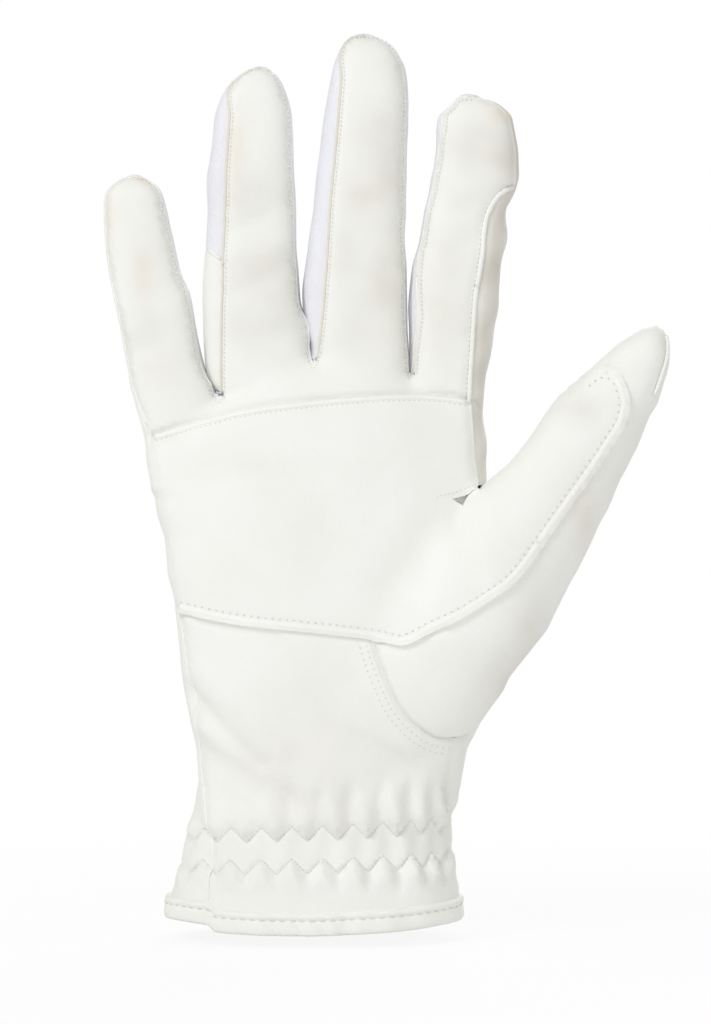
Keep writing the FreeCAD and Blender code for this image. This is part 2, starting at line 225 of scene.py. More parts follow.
FINGERS = {
    "little": finger([(185, -52.25, -37.5), (181, -52.5, -36.5), (174, -52.25, -35), (166, -51.25, -33.25),
        (159, -49.75, -30.5), (151, -48, -29.1), (142, -46.4, -27.0), (138, -45.8, -25.3),
        (134.5, -45, -23.6), (126, -42.6, -22.5), (112, -39.5, -20)], (-44.5, 190.3), [(112, 8), (127, 8.2),
        (158, 7.6), (190.3, 6.6)]),
    "ring": finger([(211, -22, -6.75), (204, -24.75, -5), (196, -25.5, -4.75), (189, -26.5, -4.5),
        (181, -26.25, -4), (174, -26.5, -4), (166, -27.25, -3.5), (159, -27.5, -3.1), (154, -27.4, -1.9),
        (149, -27.3, -1.0), (146, -27.2, -0.5), (142, -27.0, 0.2), (138, -25.8, 0.3), (134.5, -23.5, 0.5),
        (126, -22, 1), (112, -20, 1)], (-13, 217.3), [(112, 9), (130, 9.2), (172, 8.9), (217.3, 7.8)]),
    "middle": finger([(222, 7, 20), (215, 4.5, 23.25), (204, 2.5, 23.75), (196, 1.5, 23.5),
        (189, 0.5, 23.4), (181, -0.25, 23.3), (174, -1.25, 23), (166, -2.25, 23.5), (161, -2.8, 23.6),
        (152, -2.2, 23.7), (147, -0.9, 23.9), (143.25, 0.0, 24.1), (134, 0.6, 24.2), (112, 1, 23)],
        (12.6, 225.3), [(112, 9.2), (132, 9.4), (178, 9.1), (225.3, 7.9)]),
    "index": finger([(207, 34, 47.25), (204, 31.25, 49.75), (196, 30.75, 51.25), (192, 30.25, 51.5),
        (189, 29.5, 51.5), (185, 28.75, 50.5), (181, 27.75, 48.5), (174, 26.5, 48.5), (166, 24.5, 47),
        (159, 23.75, 46.5), (151, 23.9, 45.5), (144, 24.1, 44.2), (136, 24.1, 43), (112, 22, 42)],
        (38.6, 210.2), [(112, 8.8), (134, 8.9), (168, 8.5), (210.2, 7.6)]),
}
THUMB_LEFT = [(60, 6), (85, 22), (100, 33), (111, 41.75), (114, 45.25), (117.5, 49.25), (121, 52.25),
    (125, 55.25), (129, 57.75), (132.5, 60.25), (136, 63.25), (140, 67.25), (144, 71.75), (147.5, 75.75),
    (151, 81.25)]
THUMB_RIGHT = [(46, 36.6), (50, 39.5), (54, 41.75), (57.5, 44.25), (61, 47), (65, 49), (69, 52),
    (72.5, 54.75), (76, 57.75), (80, 59.75), (84, 61.75), (87.5, 63.5), (91, 65.5), (95, 67.5), (99, 69.5),
    (102.5, 71), (106, 73), (110, 74.75), (114, 76.5), (117.5, 78.5), (121, 80.5), (125, 82), (129, 83.75),
    (132.5, 85.75), (136, 87), (140, 88.25), (144, 89), (147.5, 88.9), (150, 88)]
THUMB_TIP = (86.0, 152.2)
THUMB_LEAN = 36.4                           # degrees from upright
THUMB_ROOT = np.array((16.3, 43.9))
THUMB_DIR = np.array((math.sin(math.radians(THUMB_LEAN)), math.cos(math.radians(THUMB_LEAN))))
thumb = Tube(THUMB_ROOT, THUMB_LEAN, THUMB_LEFT + [(THUMB_TIP[1], THUMB_TIP[0])],
             THUMB_RIGHT + [(THUMB_TIP[1], THUMB_TIP[0])],
             [(0, 8.5), (12, 11.5), (24, 13.4), (50, 13.2), (73.5, 11.8), (97.5, 9.4), (129, 7.8)],
             [(0, 9.5), (24, 12), (50, 12), (73.5, 11), (97.5, 9), (129, 7.4)], 2.2, 8.0, middle=-6.0)


def form(p, limbs=ALL_LIMBS):
    """Signed distance, about, to the outer face of the base leather of some limbs."""
    f = None
    for name in FINGERS:
        if name in limbs:
            d = FINGERS[name](p)
            f = d if f is None else blend_min(f, d, 1.0)
    if "palm" in limbs:
        f = palm_form(p) if f is None else blend_min(palm_form(p), f, 3.5)
    if "thumb" in limbs:
        f = thumb(p) if f is None else blend_min(f, thumb(p), 6.0)
    return f


def halve(lo, hi, place, limbs=ALL_LIMBS):
    """The points where the form ends, between two depths along rays."""
    for _ in range(12):
        m = (lo + hi) / 2
        f = form(place(m), limbs)
        lo, hi = np.where(f > 0, lo, m), np.where(f > 0, m, hi)
    return place((lo + hi) / 2)


def ray(origin, direction, reach, steps=44, limbs=ALL_LIMBS):
    """First point along each ray where the form ends, going out from inside it."""
    o, d = np.asarray(origin, float), np.asarray(direction, float)
    lo, hi = np.zeros(len(o)), np.full(len(o), -1.0)
    for s in np.linspace(0, 1, steps + 1)[1:]:
        at = s * reach
        f = form(o + d * np.reshape(at, (-1, 1)), limbs)
        hi = np.where((hi < 0) & (f > 0), at, hi)
        lo = np.where(hi < 0, at, lo)
    return halve(lo, np.where(hi < 0, reach, hi), lambda m: o + d * m[:, None], limbs)


def face_ray(xz, front=True):
    """The form's front or back face over points of the picture plane, met from outside."""
    xz = np.asarray(xz, float)
    sign = -1.0 if front else 1.0

    def place(depth):
        return np.stack([xz[:, 0], sign * np.broadcast_to(depth, len(xz)), xz[:, 1]], 1)

    found, got = np.zeros(len(xz)), np.zeros(len(xz), bool)
    for s in np.linspace(26, -6, 65):
        new = ~got & (form(place(s)) < 0)
        found[new], got = s, got | new
    return halve(found, found + 0.5, place)


def gradient(p, limbs=ALL_LIMBS):
    """Outward direction of the form at each point."""
    steps = np.eye(3) * 0.15
    g = np.stack([form(p + e, limbs) - form(p - e, limbs) for e in steps], 1)
    return unit(g)


# ---- seam lines in the picture plane

LEFT_SEAM = [(-26.2, 5.9), (-25.75, 21.25), (-27.2, 36), (-28.25, 43.75), (-29.5, 55), (-33.75, 82.5),
    (-37.6, 106), (-40.75, 126.25)]
PATCH_TOP = [(-46, 122.6), (-40.75, 123.9), (-38.75, 124.5), (-28.25, 127.5), (-15.75, 130.5),
    (-3.25, 132.25), (9.25, 133.5), (21.75, 134.25), (31.75, 134), (38.5, 133), (44, 132)]
PATCH_LOW = [(-36, 81.7), (-33.75, 81.25), (-25, 79.3), (-15.75, 77.75), (-3.25, 76.5), (7, 75.4),
    (14.75, 74.4), (19, 73.4), (22.5, 73), (26, 74.3), (29.75, 76.5), (36.5, 79.75), (44, 84.5),
    (49.5, 88.75), (54.4, 95), (59, 101.5), (63.75, 108.25), (68.25, 114.5), (73, 121.5), (76.4, 127),
    (77.6, 131), (77.5, 134.5), (76, 138.75), (74, 140.6), (72.25, 141.25), (69.25, 140.5), (65.25, 137.6),
    (62.5, 139.5), (58, 143)]
THUMB_SEAM = [(14.75, 74.5), (17.25, 67), (20.5, 59.5), (23, 56), (25.75, 53.25), (29.75, 50.5),
    (33.75, 49.6), (37.25, 50.0), (40.5, 51.5), (44.5, 54.6)]
SEAMS = {  # left and right seam of each finger's front, as (height, place)
    "little": ([(126.25, -41.2), (136, -45), (150, -48), (170, -52.5), (185, -52.5)], [(134.5, -23.9),
        (142, -27.2), (152.5, -29.2), (161.25, -31), (171.25, -34), (179.25, -36), (185, -37)]),
    "ring": ([(134.5, -22.9), (150, -22.8), (169, -22.3), (179, -21.9), (190.5, -21.6), (202, -20.9),
        (208.75, -20.3)], [(143.4, -0.2), (146.4, -0.6), (150, -1.2), (153.75, -1.9), (159.25, -3.0),
        (182.75, -4.1), (194.25, -4.7), (208, -5)]),
    "middle": ([(143.25, 0.4), (146, 1.1), (151.75, 1.9), (169, 3.4), (179, 3.9), (200, 5.9),
        (218.75, 7.3)], [(140.25, 24.0), (152, 23.6), (179, 23.2), (190.5, 23.4), (209.75, 23.4),
        (218, 22)]),
    "index": ([(140.25, 24.3), (146, 24.7), (154.5, 25.5), (162, 25.3), (169, 25.7), (176, 26.9),
        (184.75, 28.8), (196, 30.8), (206, 32.4)], [(111.25, 40.8), (113.75, 40.5), (129, 39.2),
        (135.75, 38.9), (146, 39.5), (157.75, 40.2), (169, 42), (177.75, 42.9), (184.75, 46.8),
        (187.25, 51.2), (196, 51.3), (204, 50)]),
}
CROTCH = {"little": (-23.5, 134.1), "ring": (0.15, 142.8), "middle": (24.15, 139.7)}
TIP_DROP = 0.8              # the panel's edge stays this far below a fingertip
TIP_ROUND = 8               # and is drawn finely over this height


def finger_outline(name, z0, z1):
    """The front panel's edge round one finger, up its left seam and down its right one."""
    tube = FINGERS[name]
    left, right = (Curve(s) for s in SEAMS[name])
    top = tube.end - TIP_DROP
    fine = TIP_ROUND * np.linspace(1, 0, 22)**2

    def edge(z, line, side):
        c, h = tube.centre(z), np.sqrt(tube.half(z))
        limit = h * 0.985
        want = line(np.minimum(z, line.x[-1])) - c
        drift = smoothstep(line.x[-1] - 6, top, z)
        reach = np.abs(want) * (1 - drift) + limit * drift
        return c + side * np.minimum(reach, limit)

    up = [(edge(z, left, -1), z) for z in np.r_[np.arange(z0, top - TIP_ROUND, 1.0), top - fine]]
    down = [(edge(z, right, 1), z) for z in np.r_[top - fine[::-1], np.arange(top - TIP_ROUND, z1, -1.0)]]
    a, b = up[-1][0], down[0][0]
    crown = [(a + (b - a) * k, top + 0.35 * TIP_DROP * 4 * k * (1 - k)) for k in np.linspace(0, 1, 7)[1:-1]]
    return up + crown[:3], crown[3:] + down


def inset(line, distance):
    """A polyline moved to its right-hand side."""
    p = np.array(line, float)
    t = unit(np.gradient(p, axis=0))
    return p + distance * np.stack([t[:, 1], -t[:, 0]], 1)


# (kind, points) in order round the front, clockwise as seen from the front
arcs = [("ulnar", smooth(LEFT_SEAM, 1.0))]
low = SEAMS["little"][0][0][0]
for name, (z0, z1) in {"little": (low + 1, 134.7), "ring": (134.7, 143.4), "middle": (143.4, 140.3),
                       "index": (140.3, 111.5)}.items():
    up, down = finger_outline(name, z0, z1)
    arcs += [(name + "_left", up), (name + "_right", down)]
    if name in CROTCH:
        arcs.append((name + "_crotch", [CROTCH[name]]))
NOTCH = [(41.1, 111.2), (39.4, 110.3), (36.6, 109.6), (34.2, 109.0), (35.8, 107.9), (37.5, 107.0),
    (38.3, 108.8), (39.8, 110.2), (41.8, 111.4)]
left_limit = inset(smooth([(x, z) for z, x in THUMB_LEFT[3:]], 1.0), 2.6)
right_limit = inset(smooth([(x, z) for z, x in THUMB_RIGHT], 1.0)[::-1], 3.0)
heel = inset(smooth([(x, z) for z, x in HAND_RIGHT if 0 < z <= 39], 1.0)[::-1], 3.0)
tip = [left_limit[-2], (81.3, 148.7), (84, 149.4), (86, 147.6), right_limit[4]]
arcs += [
    ("notch", resample(NOTCH, 0.6)[1:-1]),
    ("thumb_left", [p for p in left_limit[:-1] if p[0] > 43.4]),
    ("thumb_tip", smooth(tip, 1.0)[1:-1]),
    ("thumb_right", right_limit[4:]),
    ("heel", [p for p in heel if 6.7 < p[1] < 42.5] + [(33.6, 6.5)]),
]

outline, kinds = [], []
for kind, pts in arcs:
    for p in pts:
        if not outline or math.dist(outline[-1], p) > 0.25:
            outline.append((float(p[0]), float(p[1])))
            kinds.append(kind)
outline, kinds = np.array(outline), np.array(kinds)

FINGER_BEFORE, FINGER_AFTER = 0.006, 0.007      # m; how far a finger's bend reaches on both sides
FINGER_CUTS = {"little": (158.4, -0.191), "ring": (172, 0.007), "middle": (178, 0.063),
               "index": (168.3, 0.115)}


def finger_cut(name):
    """The line across a finger where its end starts to bend, as two points."""
    tube = FINGERS[name]
    z, s = FINGER_CUTS[name]
    z = z - FINGER_BEFORE / MM
    c = float(tube.centre(z))
    return np.array([(c - 16, z + s * 16), (c + 16, z - s * 16)])


THUMB_CUT = 73.5 - 7        # along the thumb, where its bend starts


def thumb_cut():
    """The line across the thumb where its bend starts."""
    c = THUMB_ROOT + THUMB_DIR * THUMB_CUT
    side = np.array((THUMB_DIR[1], -THUMB_DIR[0]))
    return np.array([c - side * 19.5, c + side * 19])


# ---- base mesh: front, back and the strips between

ZIGZAG_TURN = Curve([(-38, -1.3), (-29, 0.1), (-7, 3.0), (12, 5.5), (27, 7.6), (32, 8.6), (40, 10.6)])


def zigzag(row, x):
    """Height of one of the two zigzag rows across the wrist."""
    mean = (27.2, 19.2)[row] + (0.035, 0.03)[row] * x
    return mean + 1.9 * (2 / np.pi) * np.arcsin(np.sin(2 * np.pi * ZIGZAG_TURN(x)))


patch_top, patch_low = smooth(PATCH_TOP, 1.0), smooth(PATCH_LOW, 1.0)
thumb_seam = smooth(THUMB_SEAM, 1.0)


def above_fold(xz):
    """Which points lie above the knuckle seam."""
    return xz[:, 1] > np.interp(xz[:, 0], patch_top[:, 0], patch_top[:, 1])


def zone_of(p):
    """The name of the moving region that a point belongs to."""
    xz = p[:, [0, 2]]
    zone = np.full(len(p), "hand", dtype=object)
    t = (xz - THUMB_ROOT) @ THUMB_DIR
    u = (xz - THUMB_ROOT) @ np.array((THUMB_DIR[1], -THUMB_DIR[0]))
    fold = above_fold(xz) & ~((t > 60) & (xz[:, 0] > 47) & (xz[:, 1] < 158))
    zone[fold] = "band"
    zone[(t > THUMB_CUT) & (xz[:, 0] > 43.2) & (u > -22) & ~fold] = "thumb_tip"
    away = {n: np.abs(xz[:, 0] - tube.centre(xz[:, 1])) for n, tube in FINGERS.items()}
    for n, tube in FINGERS.items():
        (ax, az), (bx, bz) = finger_cut(n)
        over = xz[:, 1] > az + (bz - az) * (xz[:, 0] - ax) / (bx - ax)
        across = away[n] < np.sqrt(tube.half(xz[:, 1])) + 1.6
        mine = away[n] < np.min([away[k] for k in FINGERS if k != n], axis=0)
        zone[over & across & mine & fold] = n + "_tip"
    return zone


def plane_mesh(boundary, lines, spacing=1.25):
    """Triangles over an outline, with inner lines kept as edges."""
    pts = [tuple(p) for p in boundary]
    edges = [(i, (i + 1) % len(pts)) for i in range(len(pts))]
    for line in lines:
        start = len(pts)
        pts += [tuple(p) for p in line]
        edges += [(i, i + 1) for i in range(start, len(pts) - 1)]
    lo, hi = boundary.min(0), boundary.max(0)
    xs, zs = np.arange(lo[0], hi[0], spacing), np.arange(lo[1], hi[1], spacing * 0.87)
    grid = np.array([(x + (0.5 * spacing if j % 2 else 0), z) for j, z in enumerate(zs) for x in xs])
    grid = grid[inside(grid, boundary)]
    clear = near(grid, closed(boundary)) > 0.55 * spacing
    for line in lines:
        clear &= near(grid, line) > 0.55 * spacing
    pts += [tuple(p) for p in grid[clear]]
    v, _, f, *_ = geometry.delaunay_2d_cdt([Vector(p) for p in pts], edges, [], 0, 1e-5)
    v = np.array([tuple(p) for p in v])
    f = np.array([t for t in f if len(t) == 3])
    return v, f[inside(v[f].mean(1), boundary)]


def frames(points):
    """Direction of a polyline at each of its points."""
    return unit(np.gradient(np.asarray(points, float), axis=0))


def beside(line, distance):
    """A polyline moved to its left-hand side, smoothed so that it doesn't loop."""
    p = resample(line, 1.0)
    t = frames(p)
    for _ in range(3):
        t[1:-1] = (t[:-2] + 2 * t[1:-1] + t[2:]) / 4
    t = unit(t)
    return p + distance * np.stack([-t[:, 1], t[:, 0]], 1)


def inner(line, step=1.0):
    """The stretches of a line that lie inside the outline, clear of its edge if the step is fine."""
    fine = resample(line, 0.25)
    ok = inside(fine, outline) & ((near(fine, closed(outline)) > 0.3) | (step == 1.0))
    cuts = np.flatnonzero(np.diff(ok)) + 1
    runs = [run for run, good in zip(np.split(fine, cuts), np.split(ok, cuts)) if good[0]]
    return [resample(r, step) for r in runs if len(r) > 4]


def extents(node):
    """The low and high corner of a CAD node, in mm."""
    lo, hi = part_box(node)
    return np.array(lo) / MM, np.array(hi) / MM


THUMB_BACK_SEAM = smooth([(38.5, 47.5), (32.5, 55), (31.8, 75), (34.5, 94), (38.5, 106), (43, 113.5)], 1.0)
SLIT_LOW, SLIT_HIGH = extents("slit_binding")
SLIT_X, SLIT_HALF, SLIT_FOOT = float(SLIT_LOW[0] + SLIT_HIGH[0]) / 2, 2.2, 3.6
SLIT_TOP = float(SLIT_HIGH[2]) - 4.2
slit_edge = ([(SLIT_X - SLIT_HALF, SLIT_FOOT), (SLIT_X - SLIT_HALF, SLIT_TOP)]
             + [(SLIT_X + SLIT_HALF * math.cos(a), SLIT_TOP + SLIT_HALF * math.sin(a))
                for a in np.linspace(np.pi, 0, 9)]
             + [(SLIT_X + SLIT_HALF, SLIT_TOP), (SLIT_X + SLIT_HALF, SLIT_FOOT)])
band_top = patch_top + (0, 1.3)
front_lines = []
for line in [patch_top, band_top, patch_low, thumb_seam, thumb_cut()] + [finger_cut(n) for n in FINGERS]:
    front_lines += inner(line)
thumb_seam = thumb_seam[thumb_seam[:, 1] < 73.6]
for line, offsets in ((thumb_seam, (-1.3, -0.65, 0.65, 1.3)), (patch_top, (-0.6, 0.6, 1.9)),
                      (patch_low[:-12], (-0.9, 0.8, 1.8, 2.7))):
    for o in offsets:
        front_lines += inner(beside(line, o), 0.8)
back_ok = kinds != "notch"
back_outline, station_kinds = outline[back_ok], kinds[back_ok]
back_lines = []
for line in [patch_top, thumb_cut(), THUMB_BACK_SEAM, slit_edge] + [finger_cut(n) for n in FINGERS]:
    back_lines += inner(line, 0.9)
for k in (0, 1):
    xs = np.arange(-25.6, 34.5, 0.1)
    for o in (-0.7, 0.0, 0.7):
        front_lines += inner(np.stack([xs, zigzag(k, xs) + o], 1), 0.8)
fv, ff = plane_mesh(outline, front_lines)
bv, bf = plane_mesh(back_outline, back_lines, 1.5)
front3, back3 = face_ray(fv, True), face_ray(bv, False)


def index_of(points, table):
    """Each point's nearest row of a table."""
    return np.array([int(np.argmin(((table - p)**2).sum(1))) for p in points])


# each point of the outline is a station, from which a strip runs round the side to the back
stations = back_outline
front_id, back_id = index_of(stations, fv), index_of(stations, bv)
tangent = unit(np.roll(stations, -1, 0) - np.roll(stations, 1, 0))
normal = np.stack([-tangent[:, 1], tangent[:, 0]], 1)
for _ in range(2):
    normal = unit(normal + 0.5 * (np.roll(normal, 1, 0) + np.roll(normal, -1, 0)))
# near the cuff and below the index finger the strips lie level
level = smoothstep(16, 8, stations[:, 1]) * np.isin(station_kinds, ["ulnar", "heel"])
level = np.maximum(level, smoothstep(128, 120, stations[:, 1]) * (station_kinds == "index_right"))
normal[:, 1] *= 1 - level
low_thumb = (station_kinds == "thumb_left") & (stations[:, 0] < 50)
normal[low_thumb] = (-THUMB_DIR[1], THUMB_DIR[0])
normal = unit(normal)
LIMBS = {kind: ALL_LIMBS for kind in set(station_kinds)}       # what each strip is laid on
LIMBS |= {"ulnar": ("little", "palm"), "thumb_left": ("thumb",)}
for one in FINGERS:
    LIMBS[one + "_left"] = LIMBS[one + "_right"] = (one, "palm")
WEBS = (("little", "ring", "a"), ("ring", "middle", "b"), ("middle", "index", "c"))
for one, other, _ in WEBS:
    LIMBS[one + "_crotch"] = (one, other, "palm")
COLUMNS = 26
crotches = np.char.find(station_kinds.astype(str), "crotch") >= 0
# each strip starts at the front point P and fans out round its centre to the back point Q
P, Q = front3[front_id], back3[back_id]
mid = (P[:, 1] + Q[:, 1]) / 2
inward = np.where(crotches, 1.5, 2.5)
centre = np.stack([stations[:, 0] - normal[:, 0] * inward, mid, stations[:, 1] - normal[:, 1] * inward], 1)
out3 = np.stack([normal[:, 0], np.zeros(len(normal)), normal[:, 1]], 1)
strip = np.zeros((len(stations), COLUMNS + 1, 3))
strip[:, 0], strip[:, -1] = P, Q
a0 = np.arctan2(inward, mid - P[:, 1])
a1 = np.pi - np.arctan2(inward, Q[:, 1] - mid)
for c in range(1, COLUMNS):
    a = a0 + (a1 - a0) * c / COLUMNS
    d = -np.cos(a)[:, None] * np.array((0, 1, 0)) + np.sin(a)[:, None] * out3
    reach = 1.2 * np.hypot(np.maximum(mid - P[:, 1], Q[:, 1] - mid), 5.0)
    reach = np.where(station_kinds == "ulnar", reach + 8, reach)
    for kind in set(station_kinds):
        at = station_kinds == kind
        strip[at, c] = ray(centre[at], d[at], reach[at], limbs=LIMBS[kind])

strip[crotches, :, 2] = np.minimum(strip[crotches, :, 2], stations[crotches, 1][:, None] + 1.2)

verts = np.vstack([front3, back3, strip[:, 1:-1].reshape(-1, 3)])
nf, nb, ns = len(front3), len(back3), len(stations)


def strip_vertex(i, c):
    """The mesh vertex at one station and column of the strips."""
    if c == 0:
        return front_id[i]
    return nf + back_id[i] if c == COLUMNS else nf + nb + i * (COLUMNS - 1) + c - 1


faces = [tuple(t) for t in ff] + [tuple(nf + t[::-1]) for t in bf]
tags = ["front"] * len(ff) + ["back"] * len(bf)
for i in range(ns - 1):
    crotch = station_kinds[i] == "index_right" and station_kinds[i + 1] == "thumb_left"
    for c in range(COLUMNS // 2 if crotch else 0, COLUMNS):
        faces.append((strip_vertex(i, c), strip_vertex(i + 1, c),
                      strip_vertex(i + 1, c + 1), strip_vertex(i, c + 1)))
        tags.append((station_kinds[i], c < COLUMNS / 2))

centroid = np.array([verts[list(f)].mean(0) for f in faces])
zones = zone_of(centroid)


# ---- panels

PATCH_AREA = np.vstack([patch_low, [(40, 160), (-60, 160), (-60, 82)]])
THUMB_AREA = np.vstack([thumb_seam, [(120, 60), (120, 200), (14.75, 200)]])
THUMB_BACK_AREA = np.vstack([THUMB_BACK_SEAM, [(43.0, 200), (150, 200), (150, 47.5)]])
STRIP_PANEL = {"ulnar": "ulnar", "little_left": "ulnar", "index_right": "radial", "heel": "heel_side"}
for one, other, letter in WEBS:
    for part in (one + "_right", one + "_crotch", other + "_left"):
        STRIP_PANEL[part] = "fourchette_" + letter


def panel_names():
    """The panel that each face of the base mesh is cut from."""
    xz = centroid[:, [0, 2]]
    clear_of_thumb = (xz[:, 0] < 47) | (xz[:, 1] > 160)
    up = above_fold(xz) & (zones != "thumb_tip") & clear_of_thumb
    names = np.full(len(xz), "palm", dtype=object)
    names[inside(xz, THUMB_AREA)] = "thumb_front"
    names[inside(xz, PATCH_AREA) & ~up] = "patch"
    names[up] = "finger_front"
    for k, tag in enumerate(tags):
        if type(tag) is tuple:
            kind, front_half = tag
            if not kind.startswith("thumb"):
                names[k] = STRIP_PANEL[kind]
            elif not front_half:
                names[k] = "thumb_back"
            # below a slanting seam the ring finger's gusset is leather
            if kind == "ring_left" and xz[k, 1] < 170.1 - 0.917 * (xz[k, 0] + 25):
                names[k] = "ring_gusset"
    back = np.array([tag == "back" for tag in tags])
    names[back] = "back"
    names[back & up] = "finger_back"
    names[back & ~up & inside(xz, THUMB_BACK_AREA)] = "thumb_back"
    names[back & inside(xz, slit_edge)] = "slit"
    return names


panels = panel_names()

# ---- relief

ulnar_side = station_kinds == "ulnar"
finger_sides = np.isin(station_kinds, [f"{f}_{s}" for f in FINGERS for s in ("left", "right", "crotch")])
SEAM_GROOVES = [(P[ulnar_side], 0.8, 0.5), (Q[ulnar_side], 0.8, 0.5),      # line, width, depth
                (P[finger_sides], 1.1, 0.55), (Q[finger_sides], 1.0, 0.5)]


def noise(p, scale, seed):
    """Soft repeatable unevenness made of a few waves."""
    g = np.random.default_rng(seed)
    total = np.zeros(len(p))
    for _ in range(7):
        k = g.normal(size=3)
        k /= np.linalg.norm(k)
        total += np.sin(p @ k * (2 * np.pi / (scale * g.uniform(0.7, 1.6))) + g.uniform(0, 6.28))
    return total / 7


def groove(d, width, depth):
    """A round-bottomed furrow, by the distance from its line."""
    return -depth * np.exp(-(d / width)**2)


def ridge(d, width, height):
    """A rounded swelling, by the distance from its line."""
    return height * np.exp(-(d / width)**2)


SOFT_FOLDS = [  # line, width, height
    ([(31, 106), (25, 97), (18, 88)], 4.0, -0.55), ([(36, 104), (36.5, 95), (40, 87)], 3.4, -0.6),
    ([(33, 106), (32, 96), (31, 85)], 3.2, 0.6), ([(41, 109), (44, 100), (50, 95)], 3.4, 0.55),
    ([(-31.25, 61.25), (-18.25, 48.75), (-12, 44)], 2.0, -1.4), ([(-28, 67), (-15, 55), (-8, 48)],
                                                                 3.0, 0.9),
    ([(-29, 47), (-16, 41), (-4, 34)], 3.0, -1.2), ([(-27, 53), (-12, 45), (0, 38)], 2.6, 0.5),
    ([(9, 34), (20, 42), (34, 50)], 4.0, -0.5), ([(14, 34), (25, 40), (35, 44)], 3.0, 0.35), ([(0, 36),
                                                                                               (6, 48)],
                                                                                               4.5, 0.3),
    ([(-20, 176), (-12, 179), (-5, 184)], 2.2, -0.4), ([(-20, 160), (-13, 163), (-5, 168)], 2.5, -0.45),
    ([(-19, 170), (-12, 170), (-5, 174)], 2.0, 0.3), ([(-18, 150), (-10, 147), (-4, 152)], 2.6, -0.3),
    ([(4, 175), (12, 172), (22, 176)], 3.0, -0.28), ([(3, 158), (12, 154), (21, 158)], 3.0, -0.28),
    ([(31, 186), (38, 183), (44, 184)], 2.4, -0.4), ([(29, 172), (35, 170), (41, 174)], 2.2, -0.35),
    ([(29, 179), (36, 177), (41, 180)], 2.0, 0.3), ([(-50, 160), (-42, 158), (-34, 162)], 3.0, -0.25),
    ([(-47, 145), (-38, 147), (-30, 144)], 3.0, -0.3), ([(30, 155), (35, 148), (39, 150)], 2.4, -0.3),
    ([(-20, 116), (-2, 112), (12, 104)], 7.0, -0.35), ([(2, 60), (10, 50), (24, 40)], 5.0, -0.5),
    ([(28, 44), (33, 38), (38, 34)], 4.0, -0.4), ([(-12, 68), (0, 62), (8, 58)], 6.0, 0.3),
    ([(-2, 137), (-8, 150)], 3.5, -0.25), ([(14, 150), (17, 168)], 4.5, -0.3), ([(36, 145), (31, 156)],
                                                                                4.0, -0.35),
    ([(-38, 150), (-33, 142)], 3.5, -0.3), ([(48, 100), (56, 108), (62, 118)], 5.0, 0.4),
    ([(57, 122), (64, 126), (70, 130)], 3.0, -0.35), ([(-12, 178), (-8, 190)], 4.0, -0.3),
]


def relief(p, g):
    """How far the surface stands out of the plain form, along its normal."""
    xz, x, z = p[:, [0, 2]], p[:, 0], p[:, 2]
    front = smoothstep(-0.15, -0.6, g[:, 1])
    d = 0.32 * noise(p, 34, 3) + 0.16 * noise(p, 13, 5) + 0.05 * noise(p, 6, 9)
    for line, width, depth in SEAM_GROOVES:
        d += groove(near(p, line[::2]), width, depth)
    # edges of the patch and the thumb's seam
    top, low, ts = near(xz, patch_top), near(xz, patch_low), near(xz, thumb_seam)
    d += front * np.where(above_fold(xz) & (top < 3.2), -0.75 * (1 - smoothstep(1.1, 1.6, top)), 0)
    d += front * np.where(inside(xz, PATCH_AREA), 0, groove(low, 0.8, 0.45))
    d += front * smoothstep(0.3, 2.5, low) * (groove(ts, 0.5, 1.25) + ridge(ts - 2.4, 2.0, 0.25))
    # the wrist drawn in, the seams of the back, the puckered side of the index finger
    face, puffed = smoothstep(0.75, 0.1, g[:, 1]), smoothstep(0.15, -0.45, g[:, 1])
    d -= puffed * ridge(z - 25, 8, 1.5)
    back = smoothstep(0.15, 0.6, g[:, 1])
    d += back * (groove(top, 0.9, 0.5) + groove(near(xz, THUMB_BACK_SEAM), 0.9, 0.5))
    side_wall = (smoothstep(0.3, 0.8, g[:, 0]) * smoothstep(36, 38, x)
                 * smoothstep(112, 122, z) * (1 - smoothstep(184, 190, z)))
    d += side_wall * (0.45 * noise(p, 9, 21) - 0.25)
    # gathers above, between and below the zigzag rows
    wrist = smoothstep(8, 14, z) * (1 - smoothstep(34, 44, z))
    upper, lower = z - zigzag(0, x), z - zigzag(1, x)
    turn = 2 * np.pi * ZIGZAG_TURN(x)
    strength = 0.6 + 0.7 * smoothstep(-20, 25, x)
    d += face * wrist * (groove(upper, 0.55, 0.5) + groove(lower, 0.55, 0.5))
    d += puffed * wrist * (0.85 * smoothstep(0, 1.8, upper) * (1 - smoothstep(3, 9, upper))
                           + 0.85 * smoothstep(0, 1.8, -lower) * (1 - smoothstep(3, 8, -lower)))
    d += 0.3 * wrist * strength * np.cos(turn) * smoothstep(0.5, -1.5, upper) * smoothstep(-0.5, 1.5, lower)
    d += (strength * np.sin(turn + 0.5 * np.sin(z / 4)) * (1 - smoothstep(2, 9, -lower))
          * smoothstep(1, -2, lower) * wrist * puffed)
    d -= (1.1 * strength * np.sin(turn + 0.02 * z) * smoothstep(0, 2, upper)
          * (1 - smoothstep(4, 14, upper)) * puffed)
    d += 0.3 * wrist * np.sin(turn * 0.5 + z / 7 + 1.0)
    for line, width, height in SOFT_FOLDS:
        d += front * ridge(near(xz, line), width, height)
    return d


grad = gradient(verts)
strip_at = nf + nb + np.arange(ns)[:, None] * (COLUMNS - 1) + np.arange(COLUMNS - 1)
for kind in set(station_kinds):
    ids = strip_at[station_kinds == kind].ravel()
    grad[ids] = gradient(verts[ids], limbs=LIMBS[kind])
verts = verts + grad * relief(verts, grad)[:, None]


